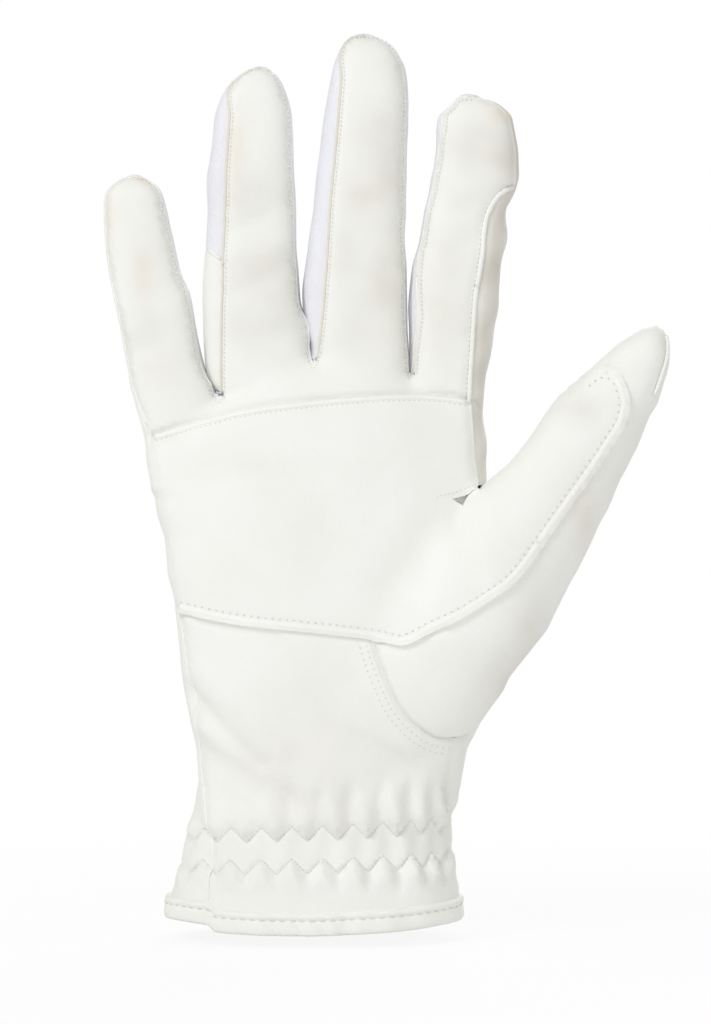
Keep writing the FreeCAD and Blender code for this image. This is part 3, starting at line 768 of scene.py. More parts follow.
def vertex_normals(v, fs):
    """Each vertex's normal, from the faces round it by their area."""
    n = np.zeros_like(v)
    for size, corners in ((3, (1, 0, 2, 0)), (4, (2, 0, 3, 1))):
        sel = np.array([f for f in fs if len(f) == size])
        a, b, c, d = (v[sel[:, k]] for k in corners)
        across = np.cross(a - b, c - d)
        for k in range(size):
            np.add.at(n, sel[:, k], across)
    return unit(n)


normals = vertex_normals(verts, faces)

# ---- materials


def srgb(r, g, b):
    """Linear colour from the 0 to 255 that a picture shows."""
    return tuple((c / 255 / 12.92) if c <= 10 else ((c / 255 + 0.055) / 1.055)**2.4 for c in (r, g, b))


def add(tree, kind, values=(), links=(), **settings):
    """A new shader node with its settings, its inputs' values and what feeds its inputs."""
    new = tree.nodes.new("ShaderNode" + kind)
    for key, value in settings.items():
        setattr(new, key, value)
    for key, value in dict(values).items():
        new.inputs[key].default_value = value
    for key, socket in dict(links).items():
        tree.links.new(socket, new.inputs[key])
    return new


# the first attribute's grey tone serves for soiling and for painted shade (the index finger's side wall, the
# creases, a few places at the wrist and thumb); the second is tan rubs
WORN_AND_SHADED_TONES = (("wear_and_shade", (214, 209, 199)), ("tan", (238, 218, 192)))       # attribute, tone


def material(name, colour, stain, rough, grain, depth, sheen=0.0, weave=0.0):
    """Leather or cloth: two close tones, the tones of worn places and of painted shade, and a fine grain or
    weave as bump.
    """
    m = bpy.data.materials.new(name)
    m.use_nodes = True
    nt = m.node_tree
    shader = nt.nodes["Principled BSDF"]
    shader.inputs["Roughness"].default_value = rough
    shader.inputs["Specular IOR Level"].default_value = 0.28
    if sheen:
        shader.inputs["Sheen Weight"].default_value = sheen
        shader.inputs["Sheen Roughness"].default_value = 0.5
    place = {"Vector": add(nt, "TexCoord").outputs["Object"]}
    soft = add(nt, "TexNoise", {"Scale": 28, "Detail": 3}, place)
    ramp = add(nt, "ValToRGB", links={"Fac": soft.outputs["Fac"]})
    for element, position, tone in zip(ramp.color_ramp.elements, (0.30, 0.58), (stain, colour)):
        element.position, element.color = position, (*srgb(*tone), 1)
    colour_out = ramp.outputs["Color"]
    for attribute, tone in WORN_AND_SHADED_TONES:
        amount = add(nt, "Attribute", attribute_name=attribute)
        mixer = add(nt, "Mix", {7: (*srgb(*tone), 1)}, {"Factor": amount.outputs["Fac"], 6: colour_out},
                    data_type="RGBA")
        colour_out = mixer.outputs[2]
    nt.links.new(colour_out, shader.inputs["Base Color"])
    fine = add(nt, "TexVoronoi", {"Scale": grain}, place)
    crease = add(nt, "TexNoise", {"Scale": grain * 0.35, "Detail": 5}, place)
    height = add(nt, "Math", links={0: fine.outputs["Distance"], 1: crease.outputs["Fac"]}, operation="ADD")
    if weave:
        wave = add(nt, "TexWave", {"Scale": weave}, place, wave_type="BANDS", bands_direction="DIAGONAL")
        height = add(nt, "Math", links={0: height.outputs[0], 1: wave.outputs["Fac"]}, operation="ADD")
    bump = add(nt, "Bump", {"Strength": 0.5, "Distance": depth}, {"Height": height.outputs[0]})
    nt.links.new(bump.outputs["Normal"], shader.inputs["Normal"])
    return m


MATERIAL = {
    "palm_leather": material("palm leather", (245, 246, 242), (241, 241, 235), 0.62, 1500, 7e-5),
    "patch_leather": material("patch leather", (246, 247, 243), (243, 243, 239), 0.6, 1500, 7e-5),
    "back_leather": material("back leather", (243, 243, 238), (239, 238, 232), 0.6, 1400, 7e-5),
    "stretch_fabric": material("stretch fabric", (238, 239, 246), (234, 234, 240), 0.8, 1800, 5e-5,
                               sheen=0.15, weave=900),
    "binding_tape": material("binding tape", (246, 247, 242), (242, 242, 236),
                             0.75, 1600, 5e-5, weave=700),
    "wrist_elastic": material("wrist elastic", (240, 240, 236), (234, 234, 230),
                              0.8, 1600, 6e-5, weave=500),
    "loop_pad": material("loop pad", (240, 240, 236), (228, 228, 224), 0.95, 900, 3e-4, sheen=0.3),
    "hook_pad": material("hook pad", (236, 236, 232), (230, 230, 226), 0.5, 700, 2e-4),
    "stitch": material("stitching thread", (228, 227, 221), (220, 219, 213), 0.7, 3000, 3e-5),
    "lining": material("leather lining", (240, 240, 236), (234, 233, 228), 0.85, 1800, 5e-5),
    "raw_edge": material("raw leather edge", (232, 228, 217), (222, 218, 207), 0.85, 2500, 6e-5),
}

SMUDGES_AND_SHADE = [  # place, half width and height, grey of wear and of painted shade, tan
    ((-42, 165), (3.0, 6.5), 0.3, 0.18), ((-40.8, 188.8), (3.4, 1.6), 0.1, 0.6), ((-50.3, 177.5), (1.6, 8),
                                                                                  0.1, 0.2),
    ((-43, 151), (6, 7), 0.3, 0.0), ((-38, 141), (6, 5), 0.15, 0.05), ((-16, 184), (7, 6), 0.3, 0.02),
    ((-12.8, 166), (9, 6), 0.28, 0.05), ((-7, 158.8), (6, 8), 0.25, 0.0), ((-15.8, 151), (6, 6), 0.25, 0.0),
    ((-19, 196), (2.5, 10), 0.2, 0.2), ((16.8, 200), (5, 6), 0.3, 0.0), ((18.8, 188.8), (5, 8), 0.35, 0.0),
    ((11.8, 183.8), (6, 5), 0.35, 0.05), ((18, 162.5), (4, 10), 0.4, 0.05), ((8, 168.8), (4, 8), 0.3, 0.0),
    ((9, 150), (7, 6), 0.2, 0.0), ((41.8, 196.3), (9, 6.5), 0.42, 0.02), ((48.5, 192.5), (4, 8), 0.4, 0.05),
    ((47, 204.5), (3.5, 2), 0.1, 0.4), ((38, 182), (6, 4), 0.2, 0.0), ((34.3, 169.3), (5, 7), 0.2, 0.0),
    # painted shade: the grey at (31.5, 33.5) and (15.5, 61) darkens the wrist where it draws in; at (54, 73)
    # and (47.5, 62) it is partly soiling and partly painted shade on the thumb's lower right side
    ((34, 153.8), (6, 6), 0.22, 0.0), ((31.5, 33.5), (3.5, 6), 0.35, 0.0), ((65.5, 131), (5, 4), 0.35, 0.0),
    ((66.8, 103.8), (3, 8), 0.2, 0.15), ((54, 73), (4.5, 12), 0.4, 0.0), ((47.5, 62), (4.5, 7), 0.4, 0.05),
    ((15.5, 61), (10, 8), 0.08, 0.0), ((-36, 125), (3, 1.5), 0.05, 0.2), ((-8, 117), (16, 3), 0.1, 0.0),
]


def wear_and_shade_of(v, panel):
    """Soiling of the worn leather at each point, grey smudges and tan rubs on the side that grips, with
    painted shade in the grey: in the creases, on the index finger's side wall and at a few smudges.
    """
    xz, front = v[:, [0, 2]], v[:, 1] < 1.0
    patchy = 0.85 + 0.45 * noise(v * (0.45, 1, 1), 6, 31)
    wear_and_shade, tan = 0.05 * (1 + noise(v, 22, 33)), np.zeros(len(v))
    for place, size, grey, brown in SMUDGES_AND_SHADE:
        share = np.exp(-(((xz - place) / size)**2).sum(1)) * front
        wear_and_shade, tan = wear_and_shade + grey * share * patchy, tan + brown * share
    # painted shade: grey laid into the creases of the deeper folds
    for line, width, height in SOFT_FOLDS:
        if height < -0.35:
            wear_and_shade = wear_and_shade - 0.09 * height * front * np.exp(-(near(xz, line) / (0.8 * width))**2)
    # painted shade: the index finger's side wall, turned away from the key lamp, is made grey
    if panel == "radial":
        wear_and_shade = wear_and_shade + (0.68 + 0.4 * noise(v, 12, 35)) * smoothstep(105, 125, v[:, 2])
    return np.clip(wear_and_shade, 0, 0.95), np.clip(tan, 0, 0.9)


# ---- emitting pieces

BLEND = {"band": ("hand", "fingers"), "thumb_tip": ("hand", "thumb_tip")}
BLEND |= {f + "_tip": ("fingers", f + "_tip") for f in FINGERS}
KNUCKLE_SPAN, THUMB_SPAN = 0.0105, 0.014


def settle(obj, zone):
    """Puts a piece on its body, or bakes the placement of a piece across a joint into its mesh."""
    if zone == "hand":
        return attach(obj, "hand")
    if zone == "tab":
        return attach(obj, "tab")
    a, b = BLEND[zone]
    if zone == "band":
        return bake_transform(obj)
    if zone == "thumb_tip":
        d = np.array((THUMB_DIR[0], 0, THUMB_DIR[1]))
        s = np.array((THUMB_ROOT[0], 0, THUMB_ROOT[1])) * MM + d * THUMB_CUT * MM
        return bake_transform(obj, a, b, start=tuple(s), end=tuple(s + d * THUMB_SPAN))
    name = zone[:-4]
    z, s = FINGER_CUTS[name]
    c = np.array((float(FINGERS[name].centre(z)), 0, z)) * MM
    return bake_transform(obj)


def piece(name, v, fs, mat, slot, zone, nodes=(), vn=None, wear_and_shade_values=None):
    """A mesh in mm, put into the scene on its body, with the CAD nodes it stands for; the slot is not used.
    """
    mesh = bpy.data.meshes.new(name)
    mesh.from_pydata((np.asarray(v) * MM).tolist(), [], [tuple(int(i) for i in f) for f in fs])
    mesh.update()
    mesh.shade_smooth()
    if vn is not None:
        mesh.normals_split_custom_set_from_vertices([tuple(n) for n in vn])
    if wear_and_shade_values is not None:
        for (attribute, _), values in zip(WORN_AND_SHADED_TONES, wear_and_shade_values):
            layer = mesh.attributes.new(attribute, "FLOAT", "POINT")
            layer.data.foreach_set("value", values.astype(np.float32))
    mesh.materials.append(MATERIAL[mat])
    obj = bpy.data.objects.new(name, mesh)
    bpy.context.scene.collection.objects.link(obj)
    settle(obj, zone)
    if nodes:
        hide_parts(*nodes)


def open_edges(fs):
    """The edges that only one face has."""
    seen = {(a, b): True for f in fs for a, b in zip(f, f[1:] + f[:1])}
    return [(a, b) for a, b in seen if (b, a) not in seen]


def skin(name, pick, look, zone, nodes, rise):
    """A panel of the base mesh as a sheet with an inner face and turned rims at its own edges."""
    fs = [faces[k] for k in np.flatnonzero(pick)]
    used = sorted({i for f in fs for i in f})
    order = {g: l for l, g in enumerate(used)}
    v, n = verts[used], normals[used]
    local = [tuple(order[i] for i in f) for f in fs]
    up = rise(v)[:, None]
    outer, inner_v = v + n * up, v + n * (np.minimum(up, 0) - LEATHER + 0.05)
    rims = open_edges(local)
    ids = sorted({i for e in rims for i in e})
    count, where = len(v), {i: k for k, i in enumerate(ids)}
    side = np.zeros((len(ids), 3))
    for a, b in rims:
        d = np.cross(outer[b] - outer[a], n[a])
        side[where[a]] += d
        side[where[b]] += d
    side = unit(side)
    rim_out = {i: 2 * count + k for i, k in where.items()}
    rim_in = {i: k + len(ids) for i, k in rim_out.items()}
    all_f = local + [tuple(count + i for i in reversed(f)) for f in local]
    all_f += [(rim_out[b], rim_out[a], rim_in[a], rim_in[b]) for a, b in rims]
    wear_and_shade_values = [np.r_[a, a, a[ids], a[ids]] for a in wear_and_shade_of(v, name.split(".")[0])]
    piece(name, np.vstack([outer, inner_v, outer[ids], inner_v[ids]]),
                 all_f, look, look, zone, nodes,
                 np.vstack([n, -n, side, side]), wear_and_shade_values)


NODES = {       # the CAD node that each panel stands for in each zone
    ("palm", "hand"): "palm_panel", ("patch", "hand"): "palm_patch",
    ("patch", "thumb_tip"): "thumb_patch_tip",
    ("thumb_front", "hand"): "thumb_front_panel", ("thumb_front", "thumb_tip"): "thumb_tip_front",
    ("thumb_back", "hand"): "thumb_back_panel", ("thumb_back", "thumb_tip"): "thumb_tip_back",
    ("ulnar", "hand"): "ulnar_side_panel", ("ulnar", "band"): "little_side_wall",
    ("ulnar", "little_tip"): "little_tip_ulnar_wall", ("radial", "hand"): "radial_side_panel",
    ("radial", "band"): "index_side_wall", ("radial", "index_tip"): "index_tip_radial_wall",
    ("back", "hand"): "back_panel", ("finger_front", "band"): "finger_front_panel",
    ("finger_back", "band"): "finger_back_panel",
}
for one, other, letter in WEBS:
    NODES["fourchette_" + letter, "band"] = f"fourchette_{one}_{other}"
    NODES["fourchette_" + letter, one + "_tip"] = one + "_tip_radial_wall"
    NODES["fourchette_" + letter, other + "_tip"] = other + "_tip_ulnar_wall"
for f in FINGERS:
    for face in ("front", "back"):
        NODES["finger_" + face, f + "_tip"] = f"{f}_tip_{face}"
LOOK = {"patch": "patch_leather", "thumb_back": "back_leather", "back": "back_leather",
        "finger_back": "back_leather", **{"fourchette_" + w[2]: "stretch_fabric" for w in WEBS}}


def no_rise(v):
    """A panel that lies flush."""
    return np.zeros(len(v))


def patch_rise(v):
    """How far the sewn-on patch stands over the palm, with its turned edge and the line sewn into it."""
    top, low = near(v[:, [0, 2]], patch_top), near(v[:, [0, 2]], patch_low)
    fade = smoothstep(0, 7, np.linalg.norm(v[:, [0, 2]] - (66.0, 139.0), axis=1))
    return fade * (0.35 + 0.4 * smoothstep(0, 3, top) - ridge(low - 2.6, 0.7, 0.4)
                   + 0.45 * (1 - smoothstep(0, 2.4, low)))


for panel, zone in sorted(set(zip(panels, zones))):
    if panel != "slit":
        nodes = [NODES[panel, zone]] if (panel, zone) in NODES else []
        skin(f"{panel}.{zone}", (panels == panel) & (zones == zone), LOOK.get(panel, "palm_leather"),
             zone, nodes,
             patch_rise if panel == "patch" else no_rise)


# ---- stitches, edges and beads


def on_skin(xz, front=True, rise=0.0):
    """Points on the finished surface over places of the picture plane, with the surface's direction there."""
    hit = face_ray(np.asarray(xz, float), front)
    g = gradient(hit)
    return hit + g * (relief(hit, g) + rise)[:, None], g


def off_skin(p3, g3):
    """Points of the plain form brought onto the finished surface."""
    return p3 + g3 * relief(p3, g3)[:, None]


def runs_by_zone(points):
    """Stretches of a line that stay in one moving region."""
    z = zone_of(points)
    out, start = [], 0
    for i in range(1, len(z) + 1):
        if i == len(z) or z[i] != z[start]:
            if i - start >= 2:
                out.append((z[start], slice(start, min(i + 1, len(z)))))
            start = i
    return out


def tube_faces(rows, sides):
    """The faces between rings of points that follow one another."""
    return [(k + j, k + (j + 1) % sides, k + sides + (j + 1) % sides, k + sides + j)
            for k in range(0, (rows - 1) * sides, sides) for j in range(sides)]


def stitches(name, points, dirs, length, radius, slant=0.0, zone=None, sink=0.35,
             stops=(-1, -0.75, -0.3, 0.3, 0.75, 1), caps=True):
    """Short threads at points one pitch apart on the surface, each diving in at its ends."""
    p, g = np.asarray(points, float), np.asarray(dirs, float)
    t = frames(p)
    side = np.cross(g, t)
    ca, sa = math.cos(math.radians(slant)), math.sin(math.radians(slant))
    t, side = t * ca + side * sa, side * ca - t * sa
    thick = [radius * math.sqrt(max(1 - abs(s)**3, 0.03)) for s in stops]
    v = np.array([(s * length / 2, r * math.cos(a), r * math.sin(a) - radius * 1.1 * s**2 + radius * sink)
                  for s, r in zip(stops, thick) for a in np.arange(6) * np.pi / 3])
    f = tube_faces(len(stops), 6)
    if caps:
        f += [tuple(range(5, -1, -1)), tuple(range(len(v) - 6, len(v)))]
    zones_here = np.full(len(p), zone, dtype=object) if zone else zone_of(p)
    for z in sorted(set(zones_here)):
        ids = np.flatnonzero(zones_here == z)
        vs = [p[i] + v[:, :1] * t[i] + v[:, 1:2] * side[i] + v[:, 2:] * g[i] for i in ids]
        fs = [tuple(n * len(v) + i for i in face) for n in range(len(ids)) for face in f]
        piece(name if z == "tab" else f"{name}.{z}", np.vstack(vs), fs, "stitch", "binding_tape", z)


def bead(name, line, width, height, mat, slot=None, sink=0.3, zone=None, wobble=0.0):
    """A turned or cut edge: a small rounded section swept along points on the surface."""
    p, g = line
    side = np.cross(g, frames(p))
    k = np.arange(len(p))
    swell = (1 + wobble * np.sin(k * 1.9) * np.sin(k * 0.73))[:, None]
    ring = np.stack([p + side * (width / 2 * math.cos(a)) * swell
                     + g * (height / 2 * math.sin(a) - sink * height + height / 2) * swell
                     for a in np.arange(8) * np.pi / 4], 1)
    for z, part in (runs_by_zone(p) if zone is None else [(zone, slice(0, len(p)))]):
        r = ring[part]
        end = len(r) * 8
        fs = [(a, d, c, b) for a, b, c, d in tube_faces(len(r), 8)]
        fs += [tuple(range(8)), tuple(range(end - 1, end - 9, -1))]
        piece(f"{name}.{z}.{part.start}", r.reshape(-1, 3), fs, mat, slot or mat, z)


def row(name, line, pitch, length, radius=0.16, front=True, rise=0.0, slant=0.0):
    """Stitches along a line of the picture plane."""
    pts = resample(line, pitch)
    p, g = on_skin(pts[inside(pts, outline if front else back_outline)], front, rise)
    stitches(name, p, g, length, radius, slant)


def on_panel(line):
    """The part of a line that lies on the front face, a little in from its edge."""
    return line[inside(line, outline) & (near(line, outline) > 0.5)]


bead("patch_turned_edge", on_skin(on_panel(beside(patch_low[:-11], 1.1)), rise=0.35), 2.1, 1.0,
     "patch_leather", sink=0.35)
bead("patch_top_edge", on_skin(on_panel(beside(patch_top, -0.3)), rise=0.2), 1.3, 0.75, "patch_leather")
row("patch_top_stitch", beside(patch_top, -1.15), 1.26, 0.75, rise=0.42)
row("patch_edge_stitch", beside(patch_low[:-11], 2.5), 1.75, 0.62, 0.17, rise=0.6)
row("thumb_seam_stitch_inner", beside(thumb_seam, -1.9), 1.5, 0.55, 0.17)
row("thumb_seam_stitch_outer", beside(thumb_seam, -3.5), 1.5, 0.55, 0.17)
for k in (0, 1):
    xs = np.arange(-30.6, 34.0, 0.05)
    zz = resample(np.stack([xs, zigzag(k, xs)], 1), 0.95)
    p, g = on_skin(zz)
    stitches(f"wrist_zigzag_{k}", p + g * (0.25 * smoothstep(-26, -27, zz[:, 0]))[:, None], g, 0.72, 0.19)

for f in FINGERS:
    for s in ("left", "right"):
        pick = station_kinds == f"{f}_{s}"
        if (f, s) == ("index", "right"):
            pick &= stations[:, 1] < 187
        away, pitch, slant, long = (-0.8, 1.15, 0, 0.7) if s == "right" else (-0.95, 1.05, 32, 0.95)
        if (f, s) == ("index", "left"):
            away = -1.5
        if (f, s) != ("little", "left"):
            row(f"{f}_{s}_stitch", beside(stations[pick], away), pitch, long, slant=slant)
        gd = gradient(P[pick])
        at = off_skin(P[pick], gd), gd
        if s == "left" and f in ("ring", "middle"):
            bead(f"{f}_{s}_edge", at, 0.75, 0.65, "raw_edge", "palm_leather", wobble=0.15)
        elif (f, s) == ("index", "right"):
            bead(f"{f}_{s}_edge", at, 1.25, 1.0, "palm_leather", sink=0.15, wobble=0.1)
        else:
            bead(f"{f}_{s}_edge", at, 0.5, 0.4, "palm_leather", wobble=0.1)
for one, other, _ in WEBS:
    web = np.array([stations[station_kinds == one + "_right"][-1], CROTCH[one],
                    stations[station_kinds == other + "_left"][0]])
    bead(f"{one}_web_edge", on_skin(smooth(web + (0, 0.05), 0.5)), 0.8, 0.65, "palm_leather")
    p, g = on_skin(smooth(web + np.array([(-0.9, -0.4), (0, -1.5), (0.9, -0.4)]), 0.9))
    stitches(f"{one}_web_stitch", p, g, 0.6, 0.15)

notch2 = outline[kinds == "notch"]
apex, foot = int(np.argmin(notch2[:, 0])), int(np.argmin(notch2[:, 1]))
bead("thumb_crotch_fold_upper", on_skin(notch2[:apex + 1] + (0, 0.45)),
     0.9, 0.9, "patch_leather", zone="hand")
bead("thumb_crotch_fold_lower", on_skin(notch2[apex:foot + 1] + (-0.35, -0.45)), 1.0, 0.9, "patch_leather",
     zone="hand")
row("thumb_crotch_stitch", [(30.6, 109.6), (34.5, 110.6), (40.2, 112.3)], 0.95, 0.45, 0.15, rise=0.75)
grow = notch2.mean(0) + (notch2 - notch2.mean(0)) * 1.7
v2, f2 = plane_mesh(grow, [], 0.9)
depth = 0.75 + 0.7 * smoothstep(0, 2.5, near(v2, closed(grow)))
piece("thumb_crotch_pocket", face_ray(v2) + np.array((0, 1, 0)) * depth[:, None], [tuple(t) for t in f2],
      "lining", "palm_leather", "hand")
tuck = smooth([(87.5, 149.2), (87.7, 147.2), (87.3, 144), (85.9, 139.4), (84.2, 134.6)], 0.6)
bead("thumb_tip_tuck", on_skin(tuck, rise=0.05), 1.0, 1.1, "palm_leather", wobble=0.06)
# painted shade: a thin grey bead of thread colour along the tuck stands in for the crease's shadow
bead("thumb_tip_crease", on_skin(tuck - (0.6, 0.1), rise=0.02),
     0.28, 0.2, "stitch", "palm_leather", sink=0.4)
bead("ring_gusset_seam", on_skin(smooth([(-25.6, 170.8), (-24.4, 169.7), (-22.9, 168.4)], 0.5), rise=0.05),
     0.8, 0.6, "palm_leather")
row("knuckle_back_stitch", beside(patch_top, -1.3), 1.3, 0.8, front=False)
row("thumb_back_stitch", beside(THUMB_BACK_SEAM, 1.3), 1.3, 0.8, front=False)


def seam_bead(name, p, height, look):
    """A turned edge along a side of the outline."""
    g = gradient(p)
    bead(name, (off_skin(p, g), g), 0.8, height, look)


seam_bead("ulnar_seam_edge", P[ulnar_side], 0.55, "palm_leather")
seam_bead("ulnar_back_edge", Q[ulnar_side], 0.5, "back_leather")
for f in FINGERS:
    for s in ("left", "right"):
        pick = station_kinds == f"{f}_{s}"
        seam_bead(f"{f}_{s}_back_edge", Q[pick], 0.55, "back_leather")
        row(f"{f}_{s}_back_stitch", beside(stations[pick], -1.4), 1.1, 0.7, 0.15, front=False)

# ---- cuff binding


def hoop(name, rows, look, node):
    """A closed band round the wrist, from rows of points that follow one another round its section."""
    ring = np.stack(rows, 1)
    n, m = ring.shape[:2]
    fs = [(i * m + j, i * m + (j + 1) % m, ((i + 1) % n) * m + (j + 1) % m, ((i + 1) % n) * m + j)
          for i in range(n) for j in range(m)]
    piece(name, ring.reshape(-1, 3), fs, look, look, "hand", [node])


def compass(count):
    """Angles once round, and the level direction at each."""
    a = np.linspace(0, 2 * np.pi, count + 1)[:-1]
    return a, np.stack([np.sin(a), -np.cos(a), np.zeros_like(a)], 1)


def level_dirs(d):
    """Directions laid level."""
    return unit(d * (1, 1, 0))


CUFF_LOW = Curve([(-60, 5), (-36.5, 5), (-28, 4.7), (-25.3, 4.3), (-23.4, 2.8), (-3, 2.3), (22, 3.2),
                  (33, 4.1),
                  (37, 4.5), (60, 4.5)])
BINDING_HEIGHT = 5.5
WRIST_REACH, WRIST_STEPS = 60.0, 60
PROFILE = [(-0.02, -0.5), (0.0, 0.35), (0.05, 0.95), (0.13, 1.15), (0.2, 1.1), (0.27, 0.78), (0.31, 0.68),
           (0.36, 0.82), (0.5, 0.95), (0.7, 1.0), (0.88, 0.98), (0.97, 0.7), (1.0, 0.15), (0.99, -0.4),
           (0.93, -0.95), (0.7, -1.05), (0.3, -1.05),
           (0.05, -0.95)]      # share of the height, distance out
STITCH_ROW = 6              # the profile's point on which the running stitch lies
phi, around = compass(240)
heart = np.tile((0.1, 0.0, 6.0), (len(phi), 1))
rough_ring = ray(heart, around, WRIST_REACH, WRIST_STEPS)
front_share = smoothstep(11, 3, rough_ring[:, 1])
low_z = np.where(front_share > 0, CUFF_LOW(rough_ring[:, 0]), 0) * front_share + (1 - front_share) * 2.4
wave = 0.22 * np.sin(phi * 9 + 1) + 0.15 * np.sin(phi * 23 + 2)
rows3 = []
for h, o in PROFILE:
    heart[:, 2] = low_z + BINDING_HEIGHT * (1 - h)
    hit = ray(heart, around, WRIST_REACH, WRIST_STEPS)
    g = gradient(hit)
    rows3.append(hit + level_dirs(g) * (relief(hit, g) + o + (wave if o > 0 else 0.0))[:, None])
hoop("cuff_binding_tape", rows3, "binding_tape", "cuff_binding")
loop = resample(closed(rows3[STITCH_ROW]), 2.45)[:-1]
stitches("cuff_running_stitch", loop, level_dirs(loop - (0.1, 0, 0)), 1.75, 0.22, zone="hand", sink=0.8)

# ---- back: slit binding, closure tab, pads, elastic


def on_back(points):
    """Points on the back with its unevenness softened, as under a stiff piece, and the directions there."""
    hit = face_ray(points, False)
    g = gradient(hit)
    return hit + g * (0.25 * relief(hit, g))[:, None], g


def sheet_on_back(name, shape, low, high, look, zone, node, crown=0.0):
    """A flat piece lying on the glove's back, between two heights over the leather."""
    v2, f2 = plane_mesh(np.array(shape), [], 1.1)
    base, g = on_back(v2)
    flat = smoothstep(0, 2.0, near(v2, closed(shape)))
    top = base + g * (high - 0.35 * (1 - flat) * (high - low) + crown * flat)[:, None]
    count = len(v2)
    turned = [tuple(t[::-1]) for t in f2]
    fs = turned + [tuple(count + i for i in reversed(t)) for t in turned]
    fs += [(b, a, count + a, count + b) for a, b in open_edges(turned)]
    piece(name, np.vstack([top, base + g * low]), fs, look, look, zone, [node])


def rounded(node, r, left=-100.0):
    """The outline of a CAD node seen from the back, with round corners, cut off at the left."""
    (x0, _, z0), (x1, _, z1) = extents(node)
    x0 = max(x0, left)
    corners = ((x1 - r, z1 - r, 0), (x0 + r, z1 - r, 90), (x0 + r, z0 + r, 180), (x1 - r, z0 + r, 270))
    pts = [(cx + r * math.cos(math.radians(a + k)), cz + r * math.sin(math.radians(a + k)))
           for cx, cz, a in corners for k in np.linspace(0, 90, 10)]
    return resample(pts + pts[:1], 0.8)[:-1]


TAB_GAP, TAB_THICK = 2.3, 1.2
TAB_TOP = TAB_GAP + TAB_THICK
tab_shape = rounded("closure_tab", 9.0, -25.5)
sheet_on_back("closure_tab_cover", tab_shape,
              TAB_GAP, TAB_TOP, "back_leather", "tab", "closure_tab", crown=0.35)
sheet_on_back("hook_patch", rounded("hook_pad", 3.0, -23.0),
              TAB_GAP - 1.05, TAB_GAP, "hook_pad", "tab", "hook_pad")
sheet_on_back("loop_patch", rounded("loop_pad", 3.0, -23.0), 0.0, 0.85, "loop_pad", "hand", "loop_pad")
sheet_on_back("tab_foot_cover", rounded("tab_foot", 2.5),
              0.0, TAB_TOP, "back_leather", "hand", "tab_foot", crown=0.2)
p, g = on_back(resample(beside(closed(tab_shape), 1.8), 1.5)[:-1])
stitches("closure_tab_stitch", p + g * (TAB_TOP + 0.32), g, 0.9, 0.16,
         zone="tab", stops=(-1, -0.6, 0, 0.6, 1), caps=False)
bead("slit_binding_tape", on_back(resample(slit_edge, 0.8)),
     2.3, 1.7, "binding_tape", sink=0.45, zone="hand")
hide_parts("slit_binding")

ela_lo, ela_hi = extents("wrist_elastic")
zs = np.linspace(ela_lo[2], ela_hi[2], 14)
_, around = compass(120)
rows3 = []
for out, heights in ((-1.0, zs), (-1.75, zs[::-1])):
    for z in heights:
        hit = ray(np.tile((0.5, 0.0, z), (len(around), 1)), around, WRIST_REACH, WRIST_STEPS)
        g = gradient(hit)
        rows3.append(hit + g * (out + relief(hit, g) * 0.9 - 0.1 * math.sin(z * 2.1))[:, None])
hoop("wrist_elastic_band", rows3, "wrist_elastic", "wrist_elastic")

# ---- camera, light, floor

scene = bpy.context.scene
cam = bpy.data.objects.new("camera", bpy.data.cameras.new("camera"))
scene.collection.objects.link(cam)
cam.data.sensor_width = 36
cam.data.lens = 112.5
cam.location = (0.0106, -0.800, 0.10575)
cam.rotation_euler = (math.radians(90), 0, 0)
scene.camera = cam
scene.view_settings.view_transform = "Standard"


def lamp(name, place, target, size, power, colour):
    """A rectangular lamp aimed at a point."""
    data = bpy.data.lights.new(name, "AREA")
    data.shape, data.size, data.size_y = "RECTANGLE", size[0], size[1]
    data.energy, data.color = power, colour
    obj = bpy.data.objects.new(name, data)
    scene.collection.objects.link(obj)
    obj.location = place
    obj.rotation_euler = (Vector(target) - Vector(place)).to_track_quat("-Z", "Y").to_euler()


aim = (0.015, 0, 0.11)
lamp("key", (-0.75, -0.85, 1.05), aim, (0.7, 0.7), 7.5, (0.98, 0.99, 1.0))
lamp("front", (0.25, -1.5, 0.25), aim, (1.2, 1.0), 4.3, (0.99, 1.0, 1.0))
lamp("back", (0.5, 1.4, 0.7), aim, (1.2, 1.2), 10.0, (0.99, 1.0, 1.0))


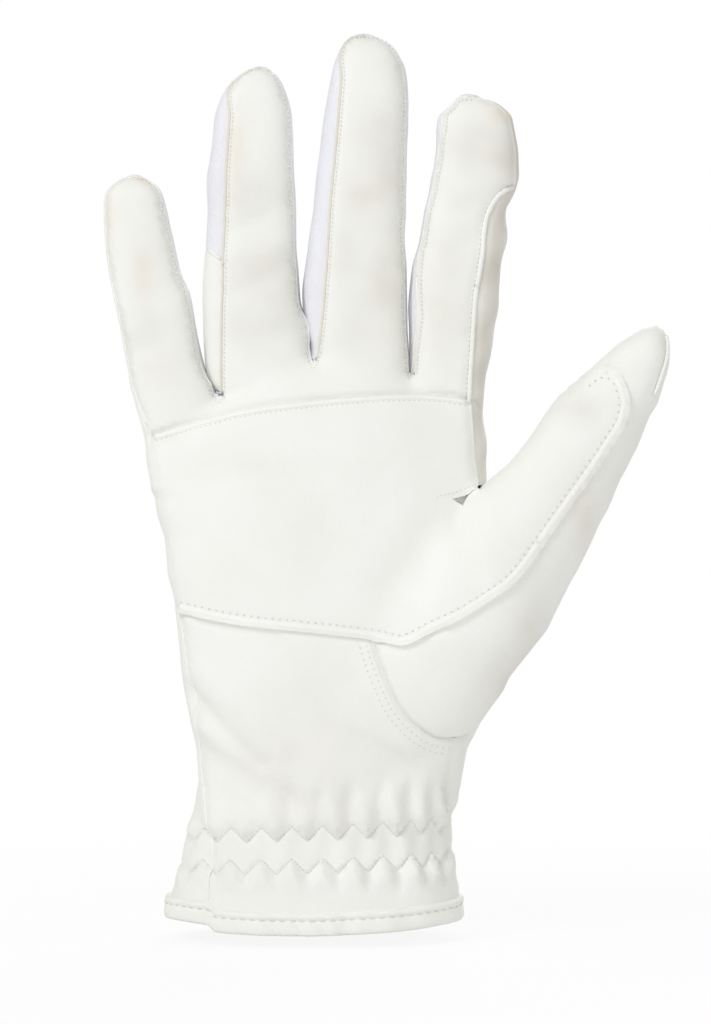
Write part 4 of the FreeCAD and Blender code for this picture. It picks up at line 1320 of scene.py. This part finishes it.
def for_rays(tree):
    """1 for camera, glossy and transmission rays, which see the white studio."""
    path = add(tree, "LightPath")
    either = add(tree, "Math", operation="MAXIMUM",
                 links={0: path.outputs["Is Camera Ray"], 1: path.outputs["Is Glossy Ray"]})
    return add(tree, "Math", operation="MAXIMUM",
               links={0: either.outputs[0], 1: path.outputs["Is Transmission Ray"]}).outputs[0]


world = bpy.data.worlds.new("studio")
scene.world = world
world.use_nodes = True
wt = world.node_tree
background = wt.nodes["Background"]
background.inputs["Color"].default_value = (1.0, 0.99, 0.975, 1)
background.inputs["Strength"].default_value = 0.53
white = add(wt, "Background", {"Color": (1, 1, 1, 1), "Strength": 1.0})
mix = add(wt, "MixShader", links={"Fac": for_rays(wt), 1: background.outputs[0], 2: white.outputs[0]})
wt.links.new(mix.outputs[0], wt.nodes["World Output"].inputs["Surface"])

FLOOR_HALF, FLOOR_Z = 2.0, -0.0006
floor_mesh = bpy.data.meshes.new("floor")
corners = ((-1, -1), (1, -1), (1, 1), (-1, 1))
floor_mesh.from_pydata([(x * FLOOR_HALF, y * FLOOR_HALF, FLOOR_Z) for x, y in corners], [], [(0, 1, 2, 3)])
floor_look = bpy.data.materials.new("floor")
floor_look.use_nodes = True
ft = floor_look.node_tree
paint = ft.nodes["Principled BSDF"]
for key, value in (("Base Color", (0.93, 0.93, 0.93, 1)), ("Roughness", 1.0), ("Specular IOR Level", 0.0)):
    paint.inputs[key].default_value = value
# the floor is white away from the glove and takes its shadow near it
away = add(ft, "VectorMath", links={0: add(ft, "TexCoord").outputs["Object"]}, operation="LENGTH")
fade = add(ft, "MapRange", {"From Min": 0.09, "From Max": 0.3, "To Min": 0.91, "To Max": 1.0},
           {"Value": away.outputs["Value"]})
share = add(ft, "Math", links={0: for_rays(ft), 1: fade.outputs[0]}, operation="MULTIPLY")
both = add(ft, "MixShader", links={"Fac": share.outputs[0], 1: paint.outputs[0],
                                   2: add(ft, "Emission").outputs[0]})
ft.links.new(both.outputs[0], ft.nodes["Material Output"].inputs["Surface"])
floor_mesh.materials.append(floor_look)
floor = bpy.data.objects.new("floor", floor_mesh)
scene.collection.objects.link(floor)
